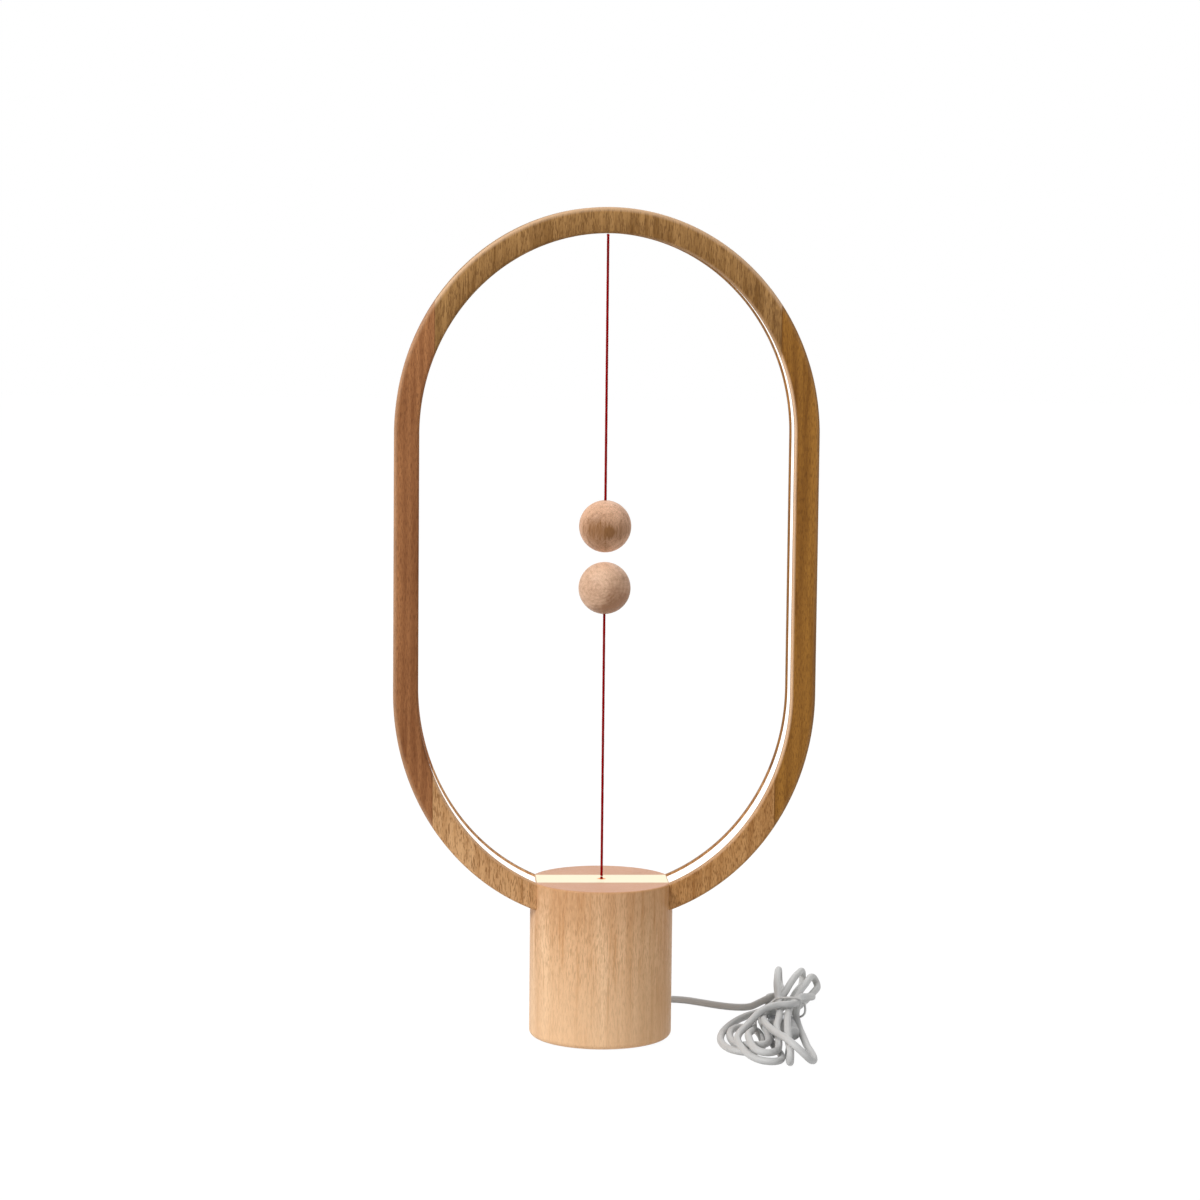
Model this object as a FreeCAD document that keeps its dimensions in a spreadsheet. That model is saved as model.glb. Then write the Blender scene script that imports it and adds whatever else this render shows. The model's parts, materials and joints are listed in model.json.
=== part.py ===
import FreeCAD, Part
import math
import os
import Sketcher

# Balance lamp: an upright oval wooden ring lit from its inner face, a round wooden base, and two
# magnetic wooden balls on red threads.  Lifting the lower ball to the upper one pulls a small switch
# in the base.  Millimetres, +Z up, +Y to the back, origin in the middle of the base's underside.

Vector = FreeCAD.Vector
Rotation = FreeCAD.Rotation
doc = FreeCAD.newDocument("balance_lamp")
sheet = doc.addObject("Spreadsheet::Sheet", "Sizes")

SIZES = {
    # the ring
    "lamp_height": 400.0,
    "ring_width": 202.0,
    "ring_depth": 27.0,
    "ring_wall": 12.0,            # at the straight sides
    "ring_crown": 12.35,          # at the top of the arch
    "top_arch_extra": 6.6,        # how much taller each arch is than half a circle
    "bottom_arch_extra": 9.8,
    "ring_edge": 1.5,             # rounding of the long edges
    "side_board": 19.0,           # width of the upright side boards
    "tenon_depth": 12.5,          # how far the ring's ends reach into the base
    "channel_width": 20.0,
    "channel_depth": 6.0,
    "diffuser_thickness": 2.0,
    "diffuser_recess": 1.0,       # the milky strip lies this deep in its channel
    "diffuser_gap": 0.2,
    "strip_width": 10.0,
    "strip_inset": 3.0,           # from the end of the milky strip to the LED strip
    "strip_thickness": 0.5,
    "chip_long": 3.5,
    "chip_wide": 2.8,
    "chip_tall": 0.8,
    "chip_pitch": 16.0,
    # the base
    "base_radius": 34.5,
    "base_height": 77.0,
    "base_top_edge": 1.0,
    "base_foot_edge": 2.5,
    "base_lift": 0.5,             # the wood clears the surface by this much
    "base_wall": 9.5,             # wood around the cavity
    "recess_wall": 4.5,           # wood around the recess for the cover and the foot pad
    "cavity_ceiling": 56.0,
    "pad_thickness": 1.5,
    "cover_thickness": 2.5,
    "lamp_strip_margin": 2.5,     # from the end of the base's lit strip to the rim
    "lamp_strip_thickness": 2.5,
    "lamp_slot_width": 12.0,
    "lamp_slot_depth": 3.5,
    "lamp_slot_inset": 2.0,
    "lamp_board_thickness": 1.0,
    "lamp_board_inset": 8.0,      # from the end of the lit strip to its board
    "wire_radius": 0.7,
    "wire_hole_radius": 2.0,
    "wire_inset": 3.0,            # from the ring's ends to the wires beside them
    "ballast_height": 16.0,
    "ballast_bore": 9.0,
    "ballast_slot": 8.0,
    "spacer_height": 4.0,
    "spacer_radius": 2.5,
    "spacer_inset": 7.0,          # from the cavity's wall to the board's screws
    "board_gap": 1.0,
    "board_thickness": 1.6,
    "socket_height": 4.0,
    "screw_radius": 1.3,
    "screw_head_radius": 2.2,
    "screw_head_height": 1.3,
    "screw_clearance": 0.2,
    "cover_screw_inset": 2.0,     # from the cavity's wall out to the cover's screws
    "cover_screw_length": 9.0,
    "board_screw_length": 10.6,
    "bracket_screw_length": 8.0,
    "pilot_depth": 8.0,
    # the pull switch
    "bracket_thickness": 2.0,
    "bracket_gap": 1.8,           # from the bracket's ends to the wires beside it
    "bracket_width": 14.0,
    "bracket_screw_inset": 5.2,
    "tab_thickness": 1.5,
    "tab_width": 10.0,
    "guide_radius": 3.8,
    "guide_length": 12.0,
    "slider_radius": 2.0,
    "slider_clearance": 0.06,
    "slider_relief": 0.4,         # extra room round the slider in the wood above its guide
    "slider_travel": 1.2,
    "slider_headroom": 3.0,       # below the slot for the lit strip's board
    "flange_radius": 4.5,
    "flange_thickness": 1.5,
    "flange_base": 37.0,
    "lever_thickness": 0.5,
    "lever_width": 3.4,
    "lever_tip": 2.0,             # from the slider's axis to the lever's free end
    "lever_gap": 0.15,
    "lever_boss_radius": 1.0,
    "lever_hinge_inset": 2.7,     # from the bracket's end to the hinge
    "lever_hinge_drop": 0.95,     # from the lever's face down to its hinge
    "lever_pin_radius": 0.5,
    "moving_clearance": 0.06,
    "ear_thickness": 1.1,
    "ear_gap": 0.2,
    "switch_body_height": 4.5,
    "switch_body_width": 6.0,
    "switch_body_length": 12.7,
    "switch_body_gap": 2.05,
    "button_radius": 0.8,
    "button_reach": 5.0,          # from the hinge to the button
    "button_seat": 0.9,           # how deep the button starts in its well
    "spring_wire_radius": 0.25,
    "spring_radius": 3.0,
    # balls and threads
    "ball_radius": 12.5,
    "ball_gap": 4.7,
    "ball_rise": 1.05,            # the gap lies this far above the middle of the opening
    "thread_radius": 0.62,
    "thread_clearance": 0.3,
    "thread_hole_gap": 0.5,
    "knot_radius": 0.9,
    "knot_gap": 0.15,
    "upper_pivot_drop": 0.95,
    "lower_pivot_lift": 2.0,
    "thread_seat": 6.0,           # length of thread inside a ball
    "magnet_radius": 5.0,
    "magnet_thickness": 5.0,
    "magnet_cover": 2.0,          # wood between the magnet and the ball's pole
    "magnet_clearance": 0.15,
    "anchor_radius": 1.5,
    "anchor_rim": 1.2,
    "anchor_head_height": 1.6,
    "anchor_hole_reach": 4.0,     # above the channel's floor
    "anchor_shank_length": 3.7,
    # the cord
    "cord_radius": 1.75,
    "cord_exit_height": 8.0,
    "relief_length": 9.5,
    "relief_radius": 2.9,
    "relief_collar": 1.2,
    "relief_tip_wall": 0.6,
    "crimp_length": 5.0,
    "crimp_wall": 0.4,
    "plug_grip_width": 13.0,
    "plug_grip_length": 20.0,
    "plug_grip_height": 6.8,
    "plug_grip_edge": 1.8,
    "plug_shell_width": 12.0,
    "plug_shell_length": 12.0,
    "plug_shell_height": 4.5,
    "plug_shell_wall": 0.35,
    "plug_tongue_height": 1.8,
    "fit_gap": 0.05,
}


class Size:
    """A length that keeps its value and the sheet formula that gives it."""

    def __init__(self, value, formula):
        self.value = float(value)
        self.formula = str(formula)

    def __add__(self, other):
        other = as_size(other)
        return Size(self.value + other.value, f"({self.formula} + {other.formula})")

    def __sub__(self, other):
        other = as_size(other)
        return Size(self.value - other.value, f"({self.formula} - {other.formula})")

    def __mul__(self, other):
        other = as_size(other)
        return Size(self.value * other.value, f"({self.formula} * {other.formula})")

    def __truediv__(self, other):
        other = as_size(other)
        return Size(self.value / other.value, f"({self.formula} / {other.formula})")

    def __radd__(self, other):
        return as_size(other) + self

    def __rsub__(self, other):
        return as_size(other) - self

    def __rmul__(self, other):
        return as_size(other) * self

    def __neg__(self):
        return Size(-self.value, f"(0 - {self.formula})")

    def root(self):
        return Size(math.sqrt(self.value), f"sqrt({self.formula})")


def as_size(length):
    return length if isinstance(length, Size) else Size(length, repr(float(length)))


def fill_sheet():
    """Write the driving dimensions and return them by name."""
    sizes = {}
    for row, (name, value) in enumerate(SIZES.items(), start=1):
        sheet.set(f"A{row}", name)
        sheet.set(f"B{row}", str(value))
        sheet.setAlias(f"B{row}", name)
        sizes[name] = Size(value, f"Sizes.{name}")
    doc.recompute()
    return sizes


D = fill_sheet()


# ---- helpers: each makes one object whose sizes are bound to the sheet -------------------------

def bind(item, prop, length):
    length = as_size(length)
    setattr(item, prop, length.value)
    item.setExpression(prop, length.formula)


def place(item, x, y, z, rotation=Rotation()):
    corner = [as_size(x), as_size(y), as_size(z)]
    item.Placement = FreeCAD.Placement(Vector(*[c.value for c in corner]), rotation)
    for axis, length in zip("xyz", corner):
        item.setExpression(f"Placement.Base.{axis}", length.formula)


AXES = {
    "Z": Rotation(),
    "-Z": Rotation(Vector(1, 0, 0), 180),
    "Y": Rotation(Vector(1, 0, 0), -90),
}
OVERCUT = 1.0                     # how far a cutting tool starts outside what it cuts
THROUGH = 60.0                    # long enough to cut right through


def box(label, low, size):
    """A box from its lowest corner and its three sides."""
    item = doc.addObject("Part::Box", label)
    item.Label = label
    for prop, length in zip(("Length", "Width", "Height"), size):
        bind(item, prop, length)
    place(item, *low)
    return item


def slab(label, half_x, half_y, z_low, height):
    """A box centred on the Z axis."""
    half_x, half_y = as_size(half_x), as_size(half_y)
    return box(label, (-half_x, -half_y, z_low), (half_x * 2, half_y * 2, height))


def rod(label, radius, start, length, axis="Z"):
    item = doc.addObject("Part::Cylinder", label)
    item.Label = label
    bind(item, "Radius", radius)
    bind(item, "Height", length)
    place(item, *start, AXES[axis])
    return item


def cone(label, radius_start, radius_end, start, length, axis="Z"):
    item = doc.addObject("Part::Cone", label)
    item.Label = label
    bind(item, "Radius1", radius_start)
    bind(item, "Radius2", radius_end)
    bind(item, "Height", length)
    place(item, *start, AXES[axis])
    return item


def ball(label, radius, x, y, z):
    item = doc.addObject("Part::Sphere", label)
    item.Label = label
    bind(item, "Radius", radius)
    place(item, x, y, z)
    return item


def cut(label, base, *tools):
    item = doc.addObject("Part::Cut", label)
    item.Label = label
    item.Base = base
    item.Tool = tools[0] if len(tools) == 1 else fuse(label + "_tools", *tools)
    return item


def fuse(label, *pieces):
    item = doc.addObject("Part::MultiFuse", label)
    item.Label = label
    item.Shapes = list(pieces)
    item.Refine = True
    return item


def group(label, *pieces):
    """Identical pieces, each a separate solid, kept in one node."""
    item = doc.addObject("Part::Compound", label)
    item.Label = label
    item.Links = list(pieces)
    return item


def common(label, first, second):
    item = doc.addObject("Part::MultiCommon", label)
    item.Label = label
    item.Shapes = [first, second]
    return item


def computed(label, shape):
    """A shape that follows a worked-out path, which no single feature makes."""
    item = doc.addObject("Part::Feature", label)
    item.Label = label
    item.Shape = shape
    return item


def origin_plane(body, role):
    return next(plane for plane in body.Origin.OriginFeatures if plane.Role == role)


def bind_point(sketch, index, point, x, y):
    """Tie one point of a sketch to the origin by its two distances."""
    for kind, axis, length in (("DistanceX", -2, x), ("DistanceY", -1, y)):
        if isinstance(length, Size):
            number = sketch.addConstraint(
                Sketcher.Constraint(kind, -1, 1, index, point, length.value))
            sketch.setExpression(f"Constraints[{number}]", length.formula)
        else:
            sketch.addConstraint(Sketcher.Constraint("PointOnObject", index, point, axis))


def turned(label, outline):
    """A body turned about the Z axis from its half section, given as (radius, height) points."""
    body = doc.addObject("PartDesign::Body", label)
    body.Label = label
    sketch = body.newObject("Sketcher::SketchObject", label + "_section")
    sketch.AttachmentSupport = [(origin_plane(body, "XZ_Plane"), "")]
    sketch.MapMode = "FlatFace"
    corners = [Vector(as_size(r).value, as_size(z).value, 0) for r, z in outline]
    for index, corner in enumerate(corners):
        sketch.addGeometry(Part.LineSegment(corner, corners[(index + 1) % len(corners)]), False)
    for index in range(len(corners)):
        sketch.addConstraint(
            Sketcher.Constraint("Coincident", index, 2, (index + 1) % len(corners), 1))
    for index, (radius, height) in enumerate(outline):
        bind_point(sketch, index, 1, radius, height)
    turn = body.newObject("PartDesign::Revolution", label + "_turned")
    turn.Profile = sketch
    turn.ReferenceAxis = (sketch, ["V_Axis"])
    turn.Angle = 360
    sketch.Visibility = False
    return body


def round_rim(body, label, radius, rim_radius, height):
    """Round the circular edge of a turned body that has this radius and height."""
    doc.recompute()
    tip = body.Tip
    names = []
    for number, edge in enumerate(tip.Shape.Edges, start=1):
        curve = edge.Curve
        if isinstance(curve, Part.Circle) and abs(curve.Radius - rim_radius.value) < 1e-6:
            if abs(curve.Center.z - height.value) < 1e-6:
                names.append(f"Edge{number}")
    fillet = body.newObject("PartDesign::Fillet", label)
    fillet.Base = (tip, names)
    bind(fillet, "Radius", radius)
    body.Tip = fillet


# ---- places that several pieces share -------------------------------------------------------

half_width = D["ring_width"] / 2
inner_half = half_width - D["ring_wall"]
top_rise = half_width + D["top_arch_extra"]
bottom_rise = half_width + D["bottom_arch_extra"]
inner_top_rise = top_rise - D["ring_crown"]
inner_bottom_rise = bottom_rise - D["ring_crown"]
base_top = D["base_height"]
lit_half = D["base_radius"] - D["lamp_strip_margin"]
tenon_end = D["base_radius"] - D["tenon_depth"]
# the lower arch is set so that its inner face meets the base's top at the end of the lit strip
upper_centre = D["lamp_height"] - top_rise
lit_share = lit_half / inner_half
lower_centre = base_top + inner_bottom_rise * (1 - lit_share * lit_share).root()
inner_top = D["lamp_height"] - D["ring_crown"]
seam_x = half_width - D["side_board"]
mid_height = (upper_centre + lower_centre) / 2

cavity_radius = D["base_radius"] - D["base_wall"]
recess_radius = D["base_radius"] - D["recess_wall"]
cover_screw_circle = cavity_radius + D["cover_screw_inset"]
spacer_circle = cavity_radius - D["spacer_inset"]
board_radius = cavity_radius - D["board_gap"]
wire_x = tenon_end - D["wire_inset"]
recess_top = D["pad_thickness"] + D["cover_thickness"]
board_low = recess_top + D["ballast_height"] + D["spacer_height"]
board_high = board_low + D["board_thickness"]
bracket_half = wire_x - D["bracket_gap"]
bracket_screw_x = bracket_half - D["bracket_screw_inset"]
lever_hinge_x = bracket_half - D["lever_hinge_inset"]
button_x = lever_hinge_x - D["button_reach"]
guide_low = D["cavity_ceiling"] - D["guide_length"]
guide_bore = D["slider_radius"] + D["slider_clearance"]
slider_bore = guide_bore + D["slider_relief"]
slot_floor = base_top - D["lamp_strip_thickness"] - D["lamp_slot_depth"]
slider_top = slot_floor - D["slider_headroom"]
thread_hole = D["knot_radius"] + D["thread_hole_gap"]
anchor_top = D["channel_depth"] + D["anchor_hole_reach"]

upper_pivot = inner_top - D["upper_pivot_drop"]
lower_pivot = base_top + D["lower_pivot_lift"]
gap_middle = (inner_top + base_top) / 2 + D["ball_rise"]
upper_ball_z = gap_middle + D["ball_gap"] / 2 + D["ball_radius"]
lower_ball_z = gap_middle - D["ball_gap"] / 2 - D["ball_radius"]
knot_reach = D["knot_radius"] + D["knot_gap"]


# ---- the ring -----------------------------------------------------------------------------------

def oval_prism(label, half, rise_top, rise_bottom, depth):
    """An oval block, centred on Y = 0: two half ellipses joined by straight sides."""
    ends = []
    for tag, centre, rise in (("upper", upper_centre, rise_top), ("lower", lower_centre, rise_bottom)):
        outline = doc.addObject("Part::Ellipse", f"{label}_{tag}_outline")
        outline.Label = outline.Name
        bind(outline, "MajorRadius", rise)
        bind(outline, "MinorRadius", half)
        upright = Rotation(Vector(0, 0, 1), Vector(1, 0, 0), Vector(0, 1, 0), "ZXY")
        place(outline, 0, 0, centre, upright)
        end = doc.addObject("Part::Extrusion", f"{label}_{tag}")
        end.Label = end.Name
        end.Base = outline
        end.DirMode = "Custom"
        end.Dir = Vector(0, 1, 0)
        bind(end, "LengthFwd", depth)
        end.Symmetric = True
        end.Solid = True
        ends.append(end)
    sides = slab(label + "_sides", half, depth / 2, lower_centre, upper_centre - lower_centre)
    return fuse(label, *ends, sides)


def oval_at(label, offset, depth):
    """The oval that runs this far outside the ring's inner face."""
    return oval_prism(label, inner_half + offset, inner_top_rise + offset,
                      inner_bottom_rise + offset, depth)


def rounded_ring():
    """The closed oval ring with its four long edges rounded."""
    outer = oval_prism("ring_outer", half_width, top_rise, bottom_rise, D["ring_depth"])
    inner = oval_prism("ring_inner", inner_half, inner_top_rise, inner_bottom_rise,
                       D["ring_depth"] + OVERCUT * 2)
    ring = cut("ring_square", outer, inner)
    doc.recompute()
    soft = doc.addObject("Part::Fillet", "ring_rounded")
    soft.Label = "ring_rounded"
    soft.Base = ring
    radius = D["ring_edge"].value
    face_edges = [number for number, edge in enumerate(ring.Shape.Edges, start=1)
                  if edge.BoundBox.YLength < 1e-6]
    soft.Edges = [(number, radius, radius) for number in face_edges]
    return soft


def side_block(label, inner_x, outer_x, low, high, side):
    """A block that keeps what lies between two distances from the middle, on one side."""
    half = D["ring_depth"]
    start = inner_x if side > 0 else -outer_x
    return box(label, (start, -half, low), (outer_x - inner_x, half * 2, high - low))


def band(label, near, far, width, end_x):
    """A strip that follows the ring's inner face between two offsets and stops at the base."""
    loop = cut(label + "_loop", oval_at(label + "_far", far, width),
               oval_at(label + "_near", near, width + OVERCUT * 2))
    gate = slab(label + "_gate", end_x, D["ring_depth"], 0, mid_height)
    hole = rod(label + "_hole", thread_hole, (0, 0, inner_top - OVERCUT), D["ring_crown"])
    return cut(label, loop, gate, hole)


def walk_oval(offset, spacing, end_x):
    """Evenly spaced points and outward directions along the oval, from the right foot to the top."""
    half = inner_half.value + offset
    rises = inner_bottom_rise.value + offset, inner_top_rise.value + offset
    centres = lower_centre.value, upper_centre.value
    steps = 400
    line = []
    start = math.asin(end_x / half)
    for k in range(steps + 1):
        turn = start + (math.pi / 2 - start) * k / steps
        line.append(Vector(half * math.sin(turn), 0, centres[0] - rises[0] * math.cos(turn)))
    for k in range(steps + 1):
        turn = math.pi / 2 * k / steps
        line.append(Vector(half * math.cos(turn), 0, centres[1] + rises[1] * math.sin(turn)))
    length = sum((b - a).Length for a, b in zip(line, line[1:]))
    count = int(length / spacing)
    walked = 0.0
    places = []
    for a, b in zip(line, line[1:]):
        run = (b - a).Length
        while run > 0 and len(places) < count and walked + run >= (len(places) + 0.5) * length / count:
            share = ((len(places) + 0.5) * length / count - walked) / run
            along = (b - a).normalize()
            places.append((a + (b - a) * share, Vector(along.z, 0, -along.x)))
        walked += run
    return places


def led_chip(point, outward, sides):
    """One LED: a small block whose back lies on the strip at this point."""
    along, across, tall = sides
    chip = Part.makeBox(along, across, tall, Vector(-along / 2, -across / 2, -tall))
    turn = math.degrees(math.atan2(outward.x, outward.z))
    chip.rotate(Vector(), Vector(0, 1, 0), turn)
    chip.translate(point)
    return chip


CHIP_INSET = 1.0                  # how far the first LED's place lies from the lit strip's end


def make_ring():
    """The five glued boards of the ring, its milky strip, and the LED strip behind that."""
    ring = rounded_ring()
    channel = oval_at("ring_channel", D["channel_depth"], D["channel_width"])
    anchor_hole = rod("ring_anchor_hole", D["anchor_radius"] + D["fit_gap"], (0, 0, inner_top), anchor_top)
    routed = cut("ring_routed", ring, channel, anchor_hole)
    high, low = D["lamp_height"] + OVERCUT, as_size(0)
    blocks = {
        "ring_top_board":
            slab("top_block", seam_x, D["ring_depth"], mid_height, high - mid_height),
        "ring_left_board":
            side_block("left_block", seam_x, half_width + OVERCUT, low, high, -1),
        "ring_right_board":
            side_block("right_block", seam_x, half_width + OVERCUT, low, high, 1),
        "ring_lower_left_board":
            side_block("lower_left_block", tenon_end, seam_x, low, mid_height, -1),
        "ring_lower_right_board":
            side_block("lower_right_block", tenon_end, seam_x, low, mid_height, 1),
    }
    boards = [common(label, routed, block) for label, block in blocks.items()]
    near = D["diffuser_recess"]
    diffuser = band("ring_diffuser", near, near + D["diffuser_thickness"],
                    D["channel_width"] - D["diffuser_gap"] * 2, lit_half + D["fit_gap"])
    floor = D["channel_depth"] - D["fit_gap"]
    strip_face = floor - D["strip_thickness"]
    strip_end = lit_half - D["strip_inset"]
    strip = band("led_flex_strip", strip_face, floor, D["strip_width"], strip_end)
    sides = D["chip_wide"].value, D["chip_long"].value, D["chip_tall"].value
    chips = []
    chip_back = strip_face.value - D["fit_gap"].value * 2
    for point, outward in walk_oval(chip_back, D["chip_pitch"].value, lit_half.value - CHIP_INSET):
        chips.append(led_chip(point, outward, sides))
        mirrored = Vector(-point.x, point.y, point.z)
        chips.append(led_chip(mirrored, Vector(-outward.x, 0, outward.z), sides))
    return ring, boards + [diffuser, strip, computed("led_chips", Part.Compound(chips))]


ring_blank, ring_pieces = make_ring()


# ---- the base -----------------------------------------------------------------------------------

def around(count, radius, start_degrees=90):
    """Places evenly spaced round the Z axis, as formulas of the circle's radius."""
    for k in range(count):
        angle = math.radians(start_degrees + 360 * k / count)
        yield radius * round(math.cos(angle), 9), radius * round(math.sin(angle), 9)


COVER_SCREW_START = 30
BOARD_SCREW_START = 45


def make_base():
    """The turned wooden base with its cavity, the bed for the lit strip and the ring's notches."""
    wood = turned("base_turned", [
        (slider_bore, base_top),
        (D["base_radius"], base_top),
        (D["base_radius"], D["base_lift"]),
        (recess_radius, D["base_lift"]),
        (recess_radius, recess_top),
        (cavity_radius, recess_top),
        (cavity_radius, D["cavity_ceiling"]),
        (slider_bore, D["cavity_ceiling"]),
    ])
    round_rim(wood, "base_top_rounding", D["base_top_edge"], D["base_radius"], base_top)
    round_rim(wood, "base_foot_rounding", D["base_foot_edge"], D["base_radius"], D["base_lift"])
    tools = [
        slab("strip_bed", lit_half, D["channel_width"] / 2, base_top - D["lamp_strip_thickness"],
             THROUGH),
        slab("lamp_board_slot", lit_half - D["lamp_slot_inset"], D["lamp_slot_width"] / 2, slot_floor,
             THROUGH),
        rod("cord_hole", D["relief_radius"] + D["fit_gap"], (0, 0, D["cord_exit_height"]),
            THROUGH, "Y"),
    ]
    for side, name in ((-1, "left"), (1, "right")):
        block = side_block(f"{name}_notch_block", tenon_end, half_width, as_size(0), mid_height, side)
        tools.append(common(f"{name}_notch", ring_blank, block))
        tools.append(rod(f"{name}_wire_hole", D["wire_hole_radius"],
                         (wire_x * side, 0, D["cavity_ceiling"] - OVERCUT), THROUGH))
        tools.append(rod(f"{name}_bracket_pilot", D["screw_radius"],
                         (bracket_screw_x * side, 0, D["cavity_ceiling"] - OVERCUT),
                         D["pilot_depth"] + OVERCUT))
    for k, (x, y) in enumerate(around(3, cover_screw_circle, COVER_SCREW_START)):
        tools.append(rod(f"cover_pilot_{k}", D["screw_radius"], (x, y, recess_top - OVERCUT),
                         D["pilot_depth"] + OVERCUT))
    return cut("base_body", wood, *tools)


def make_base_light():
    """The lit strip let into the base's top, and its board with LEDs, in one line with the ring's."""
    gap = D["diffuser_gap"]
    blank = slab("base_diffuser_blank", lit_half, D["channel_width"] / 2 - gap,
                 base_top - D["lamp_strip_thickness"], D["lamp_strip_thickness"])
    hole = rod("base_diffuser_hole", thread_hole, (0, 0, slot_floor), THROUGH)
    strip = cut("base_diffuser", blank, hole)
    board_half = lit_half - D["lamp_board_inset"]
    board_blank = slab("base_led_board_blank", board_half, D["strip_width"] / 2, slot_floor,
                       D["lamp_board_thickness"])
    board_hole = rod("base_led_board_hole", thread_hole, (0, 0, slot_floor - OVERCUT), THROUGH)
    board = cut("base_led_board", board_blank, board_hole)
    chips = []
    for k in range(-3, 4):
        if k:
            x = D["chip_pitch"] * k / 2
            chips.append(box(f"base_chip_{k + 3}",
                             (x - D["chip_wide"] / 2, -D["chip_long"] / 2,
                              slot_floor + D["lamp_board_thickness"]),
                             (D["chip_wide"], D["chip_long"], D["chip_tall"])))
    return [strip, board, group("base_led_chips", *chips)]


def make_cover():
    """The round bottom cover: a padded disc with three counterbored holes in a polar pattern."""
    body = doc.addObject("PartDesign::Body", "bottom_cover")
    body.Label = "bottom_cover"
    sketches = {}
    gap = D["screw_clearance"]
    circles = (("disc", recess_radius - gap, as_size(0), D["pad_thickness"]),
               ("hole", D["screw_radius"] + gap, cover_screw_circle, D["pad_thickness"]),
               ("bore", D["screw_head_radius"] + gap, cover_screw_circle, D["pad_thickness"]))
    angle = math.radians(COVER_SCREW_START)
    for name, radius, centre, height in circles:
        sketch = body.newObject("Sketcher::SketchObject", f"cover_{name}")
        sketch.AttachmentSupport = [(origin_plane(body, "XY_Plane"), "")]
        sketch.MapMode = "FlatFace"
        sketch.AttachmentOffset = FreeCAD.Placement(Vector(0, 0, height.value), Rotation())
        sketch.setExpression("AttachmentOffset.Base.z", height.formula)
        at = Vector(centre.value * math.cos(angle), centre.value * math.sin(angle), 0)
        sketch.addGeometry(Part.Circle(at, Vector(0, 0, 1), radius.value), False)
        number = sketch.addConstraint(Sketcher.Constraint("Radius", 0, radius.value))
        sketch.setExpression(f"Constraints[{number}]", radius.formula)
        if name == "disc":
            sketch.addConstraint(Sketcher.Constraint("Coincident", 0, 3, -1, 1))
        else:
            bind_point(sketch, 0, 3, centre * math.cos(angle), centre * math.sin(angle))
        sketches[name] = sketch
    pad = body.newObject("PartDesign::Pad", "cover_disc_pad")
    pad.Profile = sketches["disc"]
    bind(pad, "Length", D["cover_thickness"])
    pockets = []
    for name, depth in (("hole", D["cover_thickness"]), ("bore", D["screw_head_height"])):
        pocket = body.newObject("PartDesign::Pocket", f"cover_{name}_pocket")
        pocket.Profile = sketches[name]
        bind(pocket, "Length", depth)
        pocket.Reversed = True
        pockets.append(pocket)
    pattern = body.newObject("PartDesign::PolarPattern", "cover_pattern")
    pattern.Originals = pockets
    pattern.Axis = (sketches["disc"], ["N_Axis"])
    pattern.Angle = 360
    pattern.Occurrences = 3
    body.Tip = pattern
    return body


def screw(label, x, y, head_low, length, axis="Z"):
    """A pan-head screw: its head starts at head_low and its shank runs on along the axis."""
    sign = 1 if axis == "Z" else -1
    shank_start = head_low + D["screw_head_height"] * sign
    head = rod(label + "_head", D["screw_head_radius"], (x, y, head_low), D["screw_head_height"], axis)
    shank = rod(label + "_shank", D["screw_radius"] - D["fit_gap"] * 2, (x, y, shank_start), length, axis)
    return fuse(label, head, shank)


def make_base_fittings():
    """What the base's cavity holds from below: foot pad, ballast, circuit board and their screws."""
    cover_screws = []
    for k, (x, y) in enumerate(around(3, cover_screw_circle, COVER_SCREW_START)):
        cover_screws.append(screw(f"cover_screw_{k}", x, y, D["pad_thickness"],
                                  D["cover_screw_length"]))
    pad_radius = recess_radius - D["fit_gap"] * 8
    pad = turned("foot_pad", [
        (0, 0),
        (pad_radius, 0),
        (pad_radius, D["pad_thickness"]),
        (0, D["pad_thickness"]),
    ])
    ballast_outer = cavity_radius - D["fit_gap"] * 4
    ring = turned("ballast_turned", [
        (D["ballast_bore"], recess_top),
        (ballast_outer, recess_top),
        (ballast_outer, recess_top + D["ballast_height"]),
        (D["ballast_bore"], recess_top + D["ballast_height"]),
    ])
    slot = box("ballast_cord_slot", (-D["ballast_slot"] / 2, 0, recess_top - OVERCUT),
               (D["ballast_slot"], cavity_radius + OVERCUT, D["ballast_height"] + OVERCUT * 2))
    holes, spacers, board_holes, board_screws = [], [], [], []
    ballast_top = recess_top + D["ballast_height"]
    tapped_low = ballast_top - D["pilot_depth"]
    loose_radius = D["screw_radius"] + D["screw_clearance"]
    for k, (x, y) in enumerate(around(3, spacer_circle, BOARD_SCREW_START)):
        holes.append(rod(f"ballast_tapped_{k}", D["screw_radius"], (x, y, tapped_low), THROUGH))
        sleeve = rod(f"spacer_sleeve_{k}", D["spacer_radius"], (x, y, ballast_top),
                     D["spacer_height"])
        bore = rod(f"spacer_bore_{k}", loose_radius, (x, y, tapped_low), THROUGH)
        spacers.append(cut(f"board_spacer_{k}", sleeve, bore))
        board_holes.append(rod(f"board_hole_{k}", loose_radius, (x, y, tapped_low), THROUGH))
        board_screws.append(screw(f"board_screw_{k}", x, y, board_high + D["screw_head_height"],
                                  D["board_screw_length"], "-Z"))
    ballast = cut("ballast_weight", ring, slot, *holes)
    disc = rod("circuit_disc", board_radius, (0, 0, board_low), D["board_thickness"])
    board = cut("circuit_board", disc, *board_holes)
    return [
        pad, ballast, board,
        group("bottom_cover_screws", *cover_screws),
        group("board_spacers", *spacers),
        group("board_screws", *board_screws),
    ]


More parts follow.
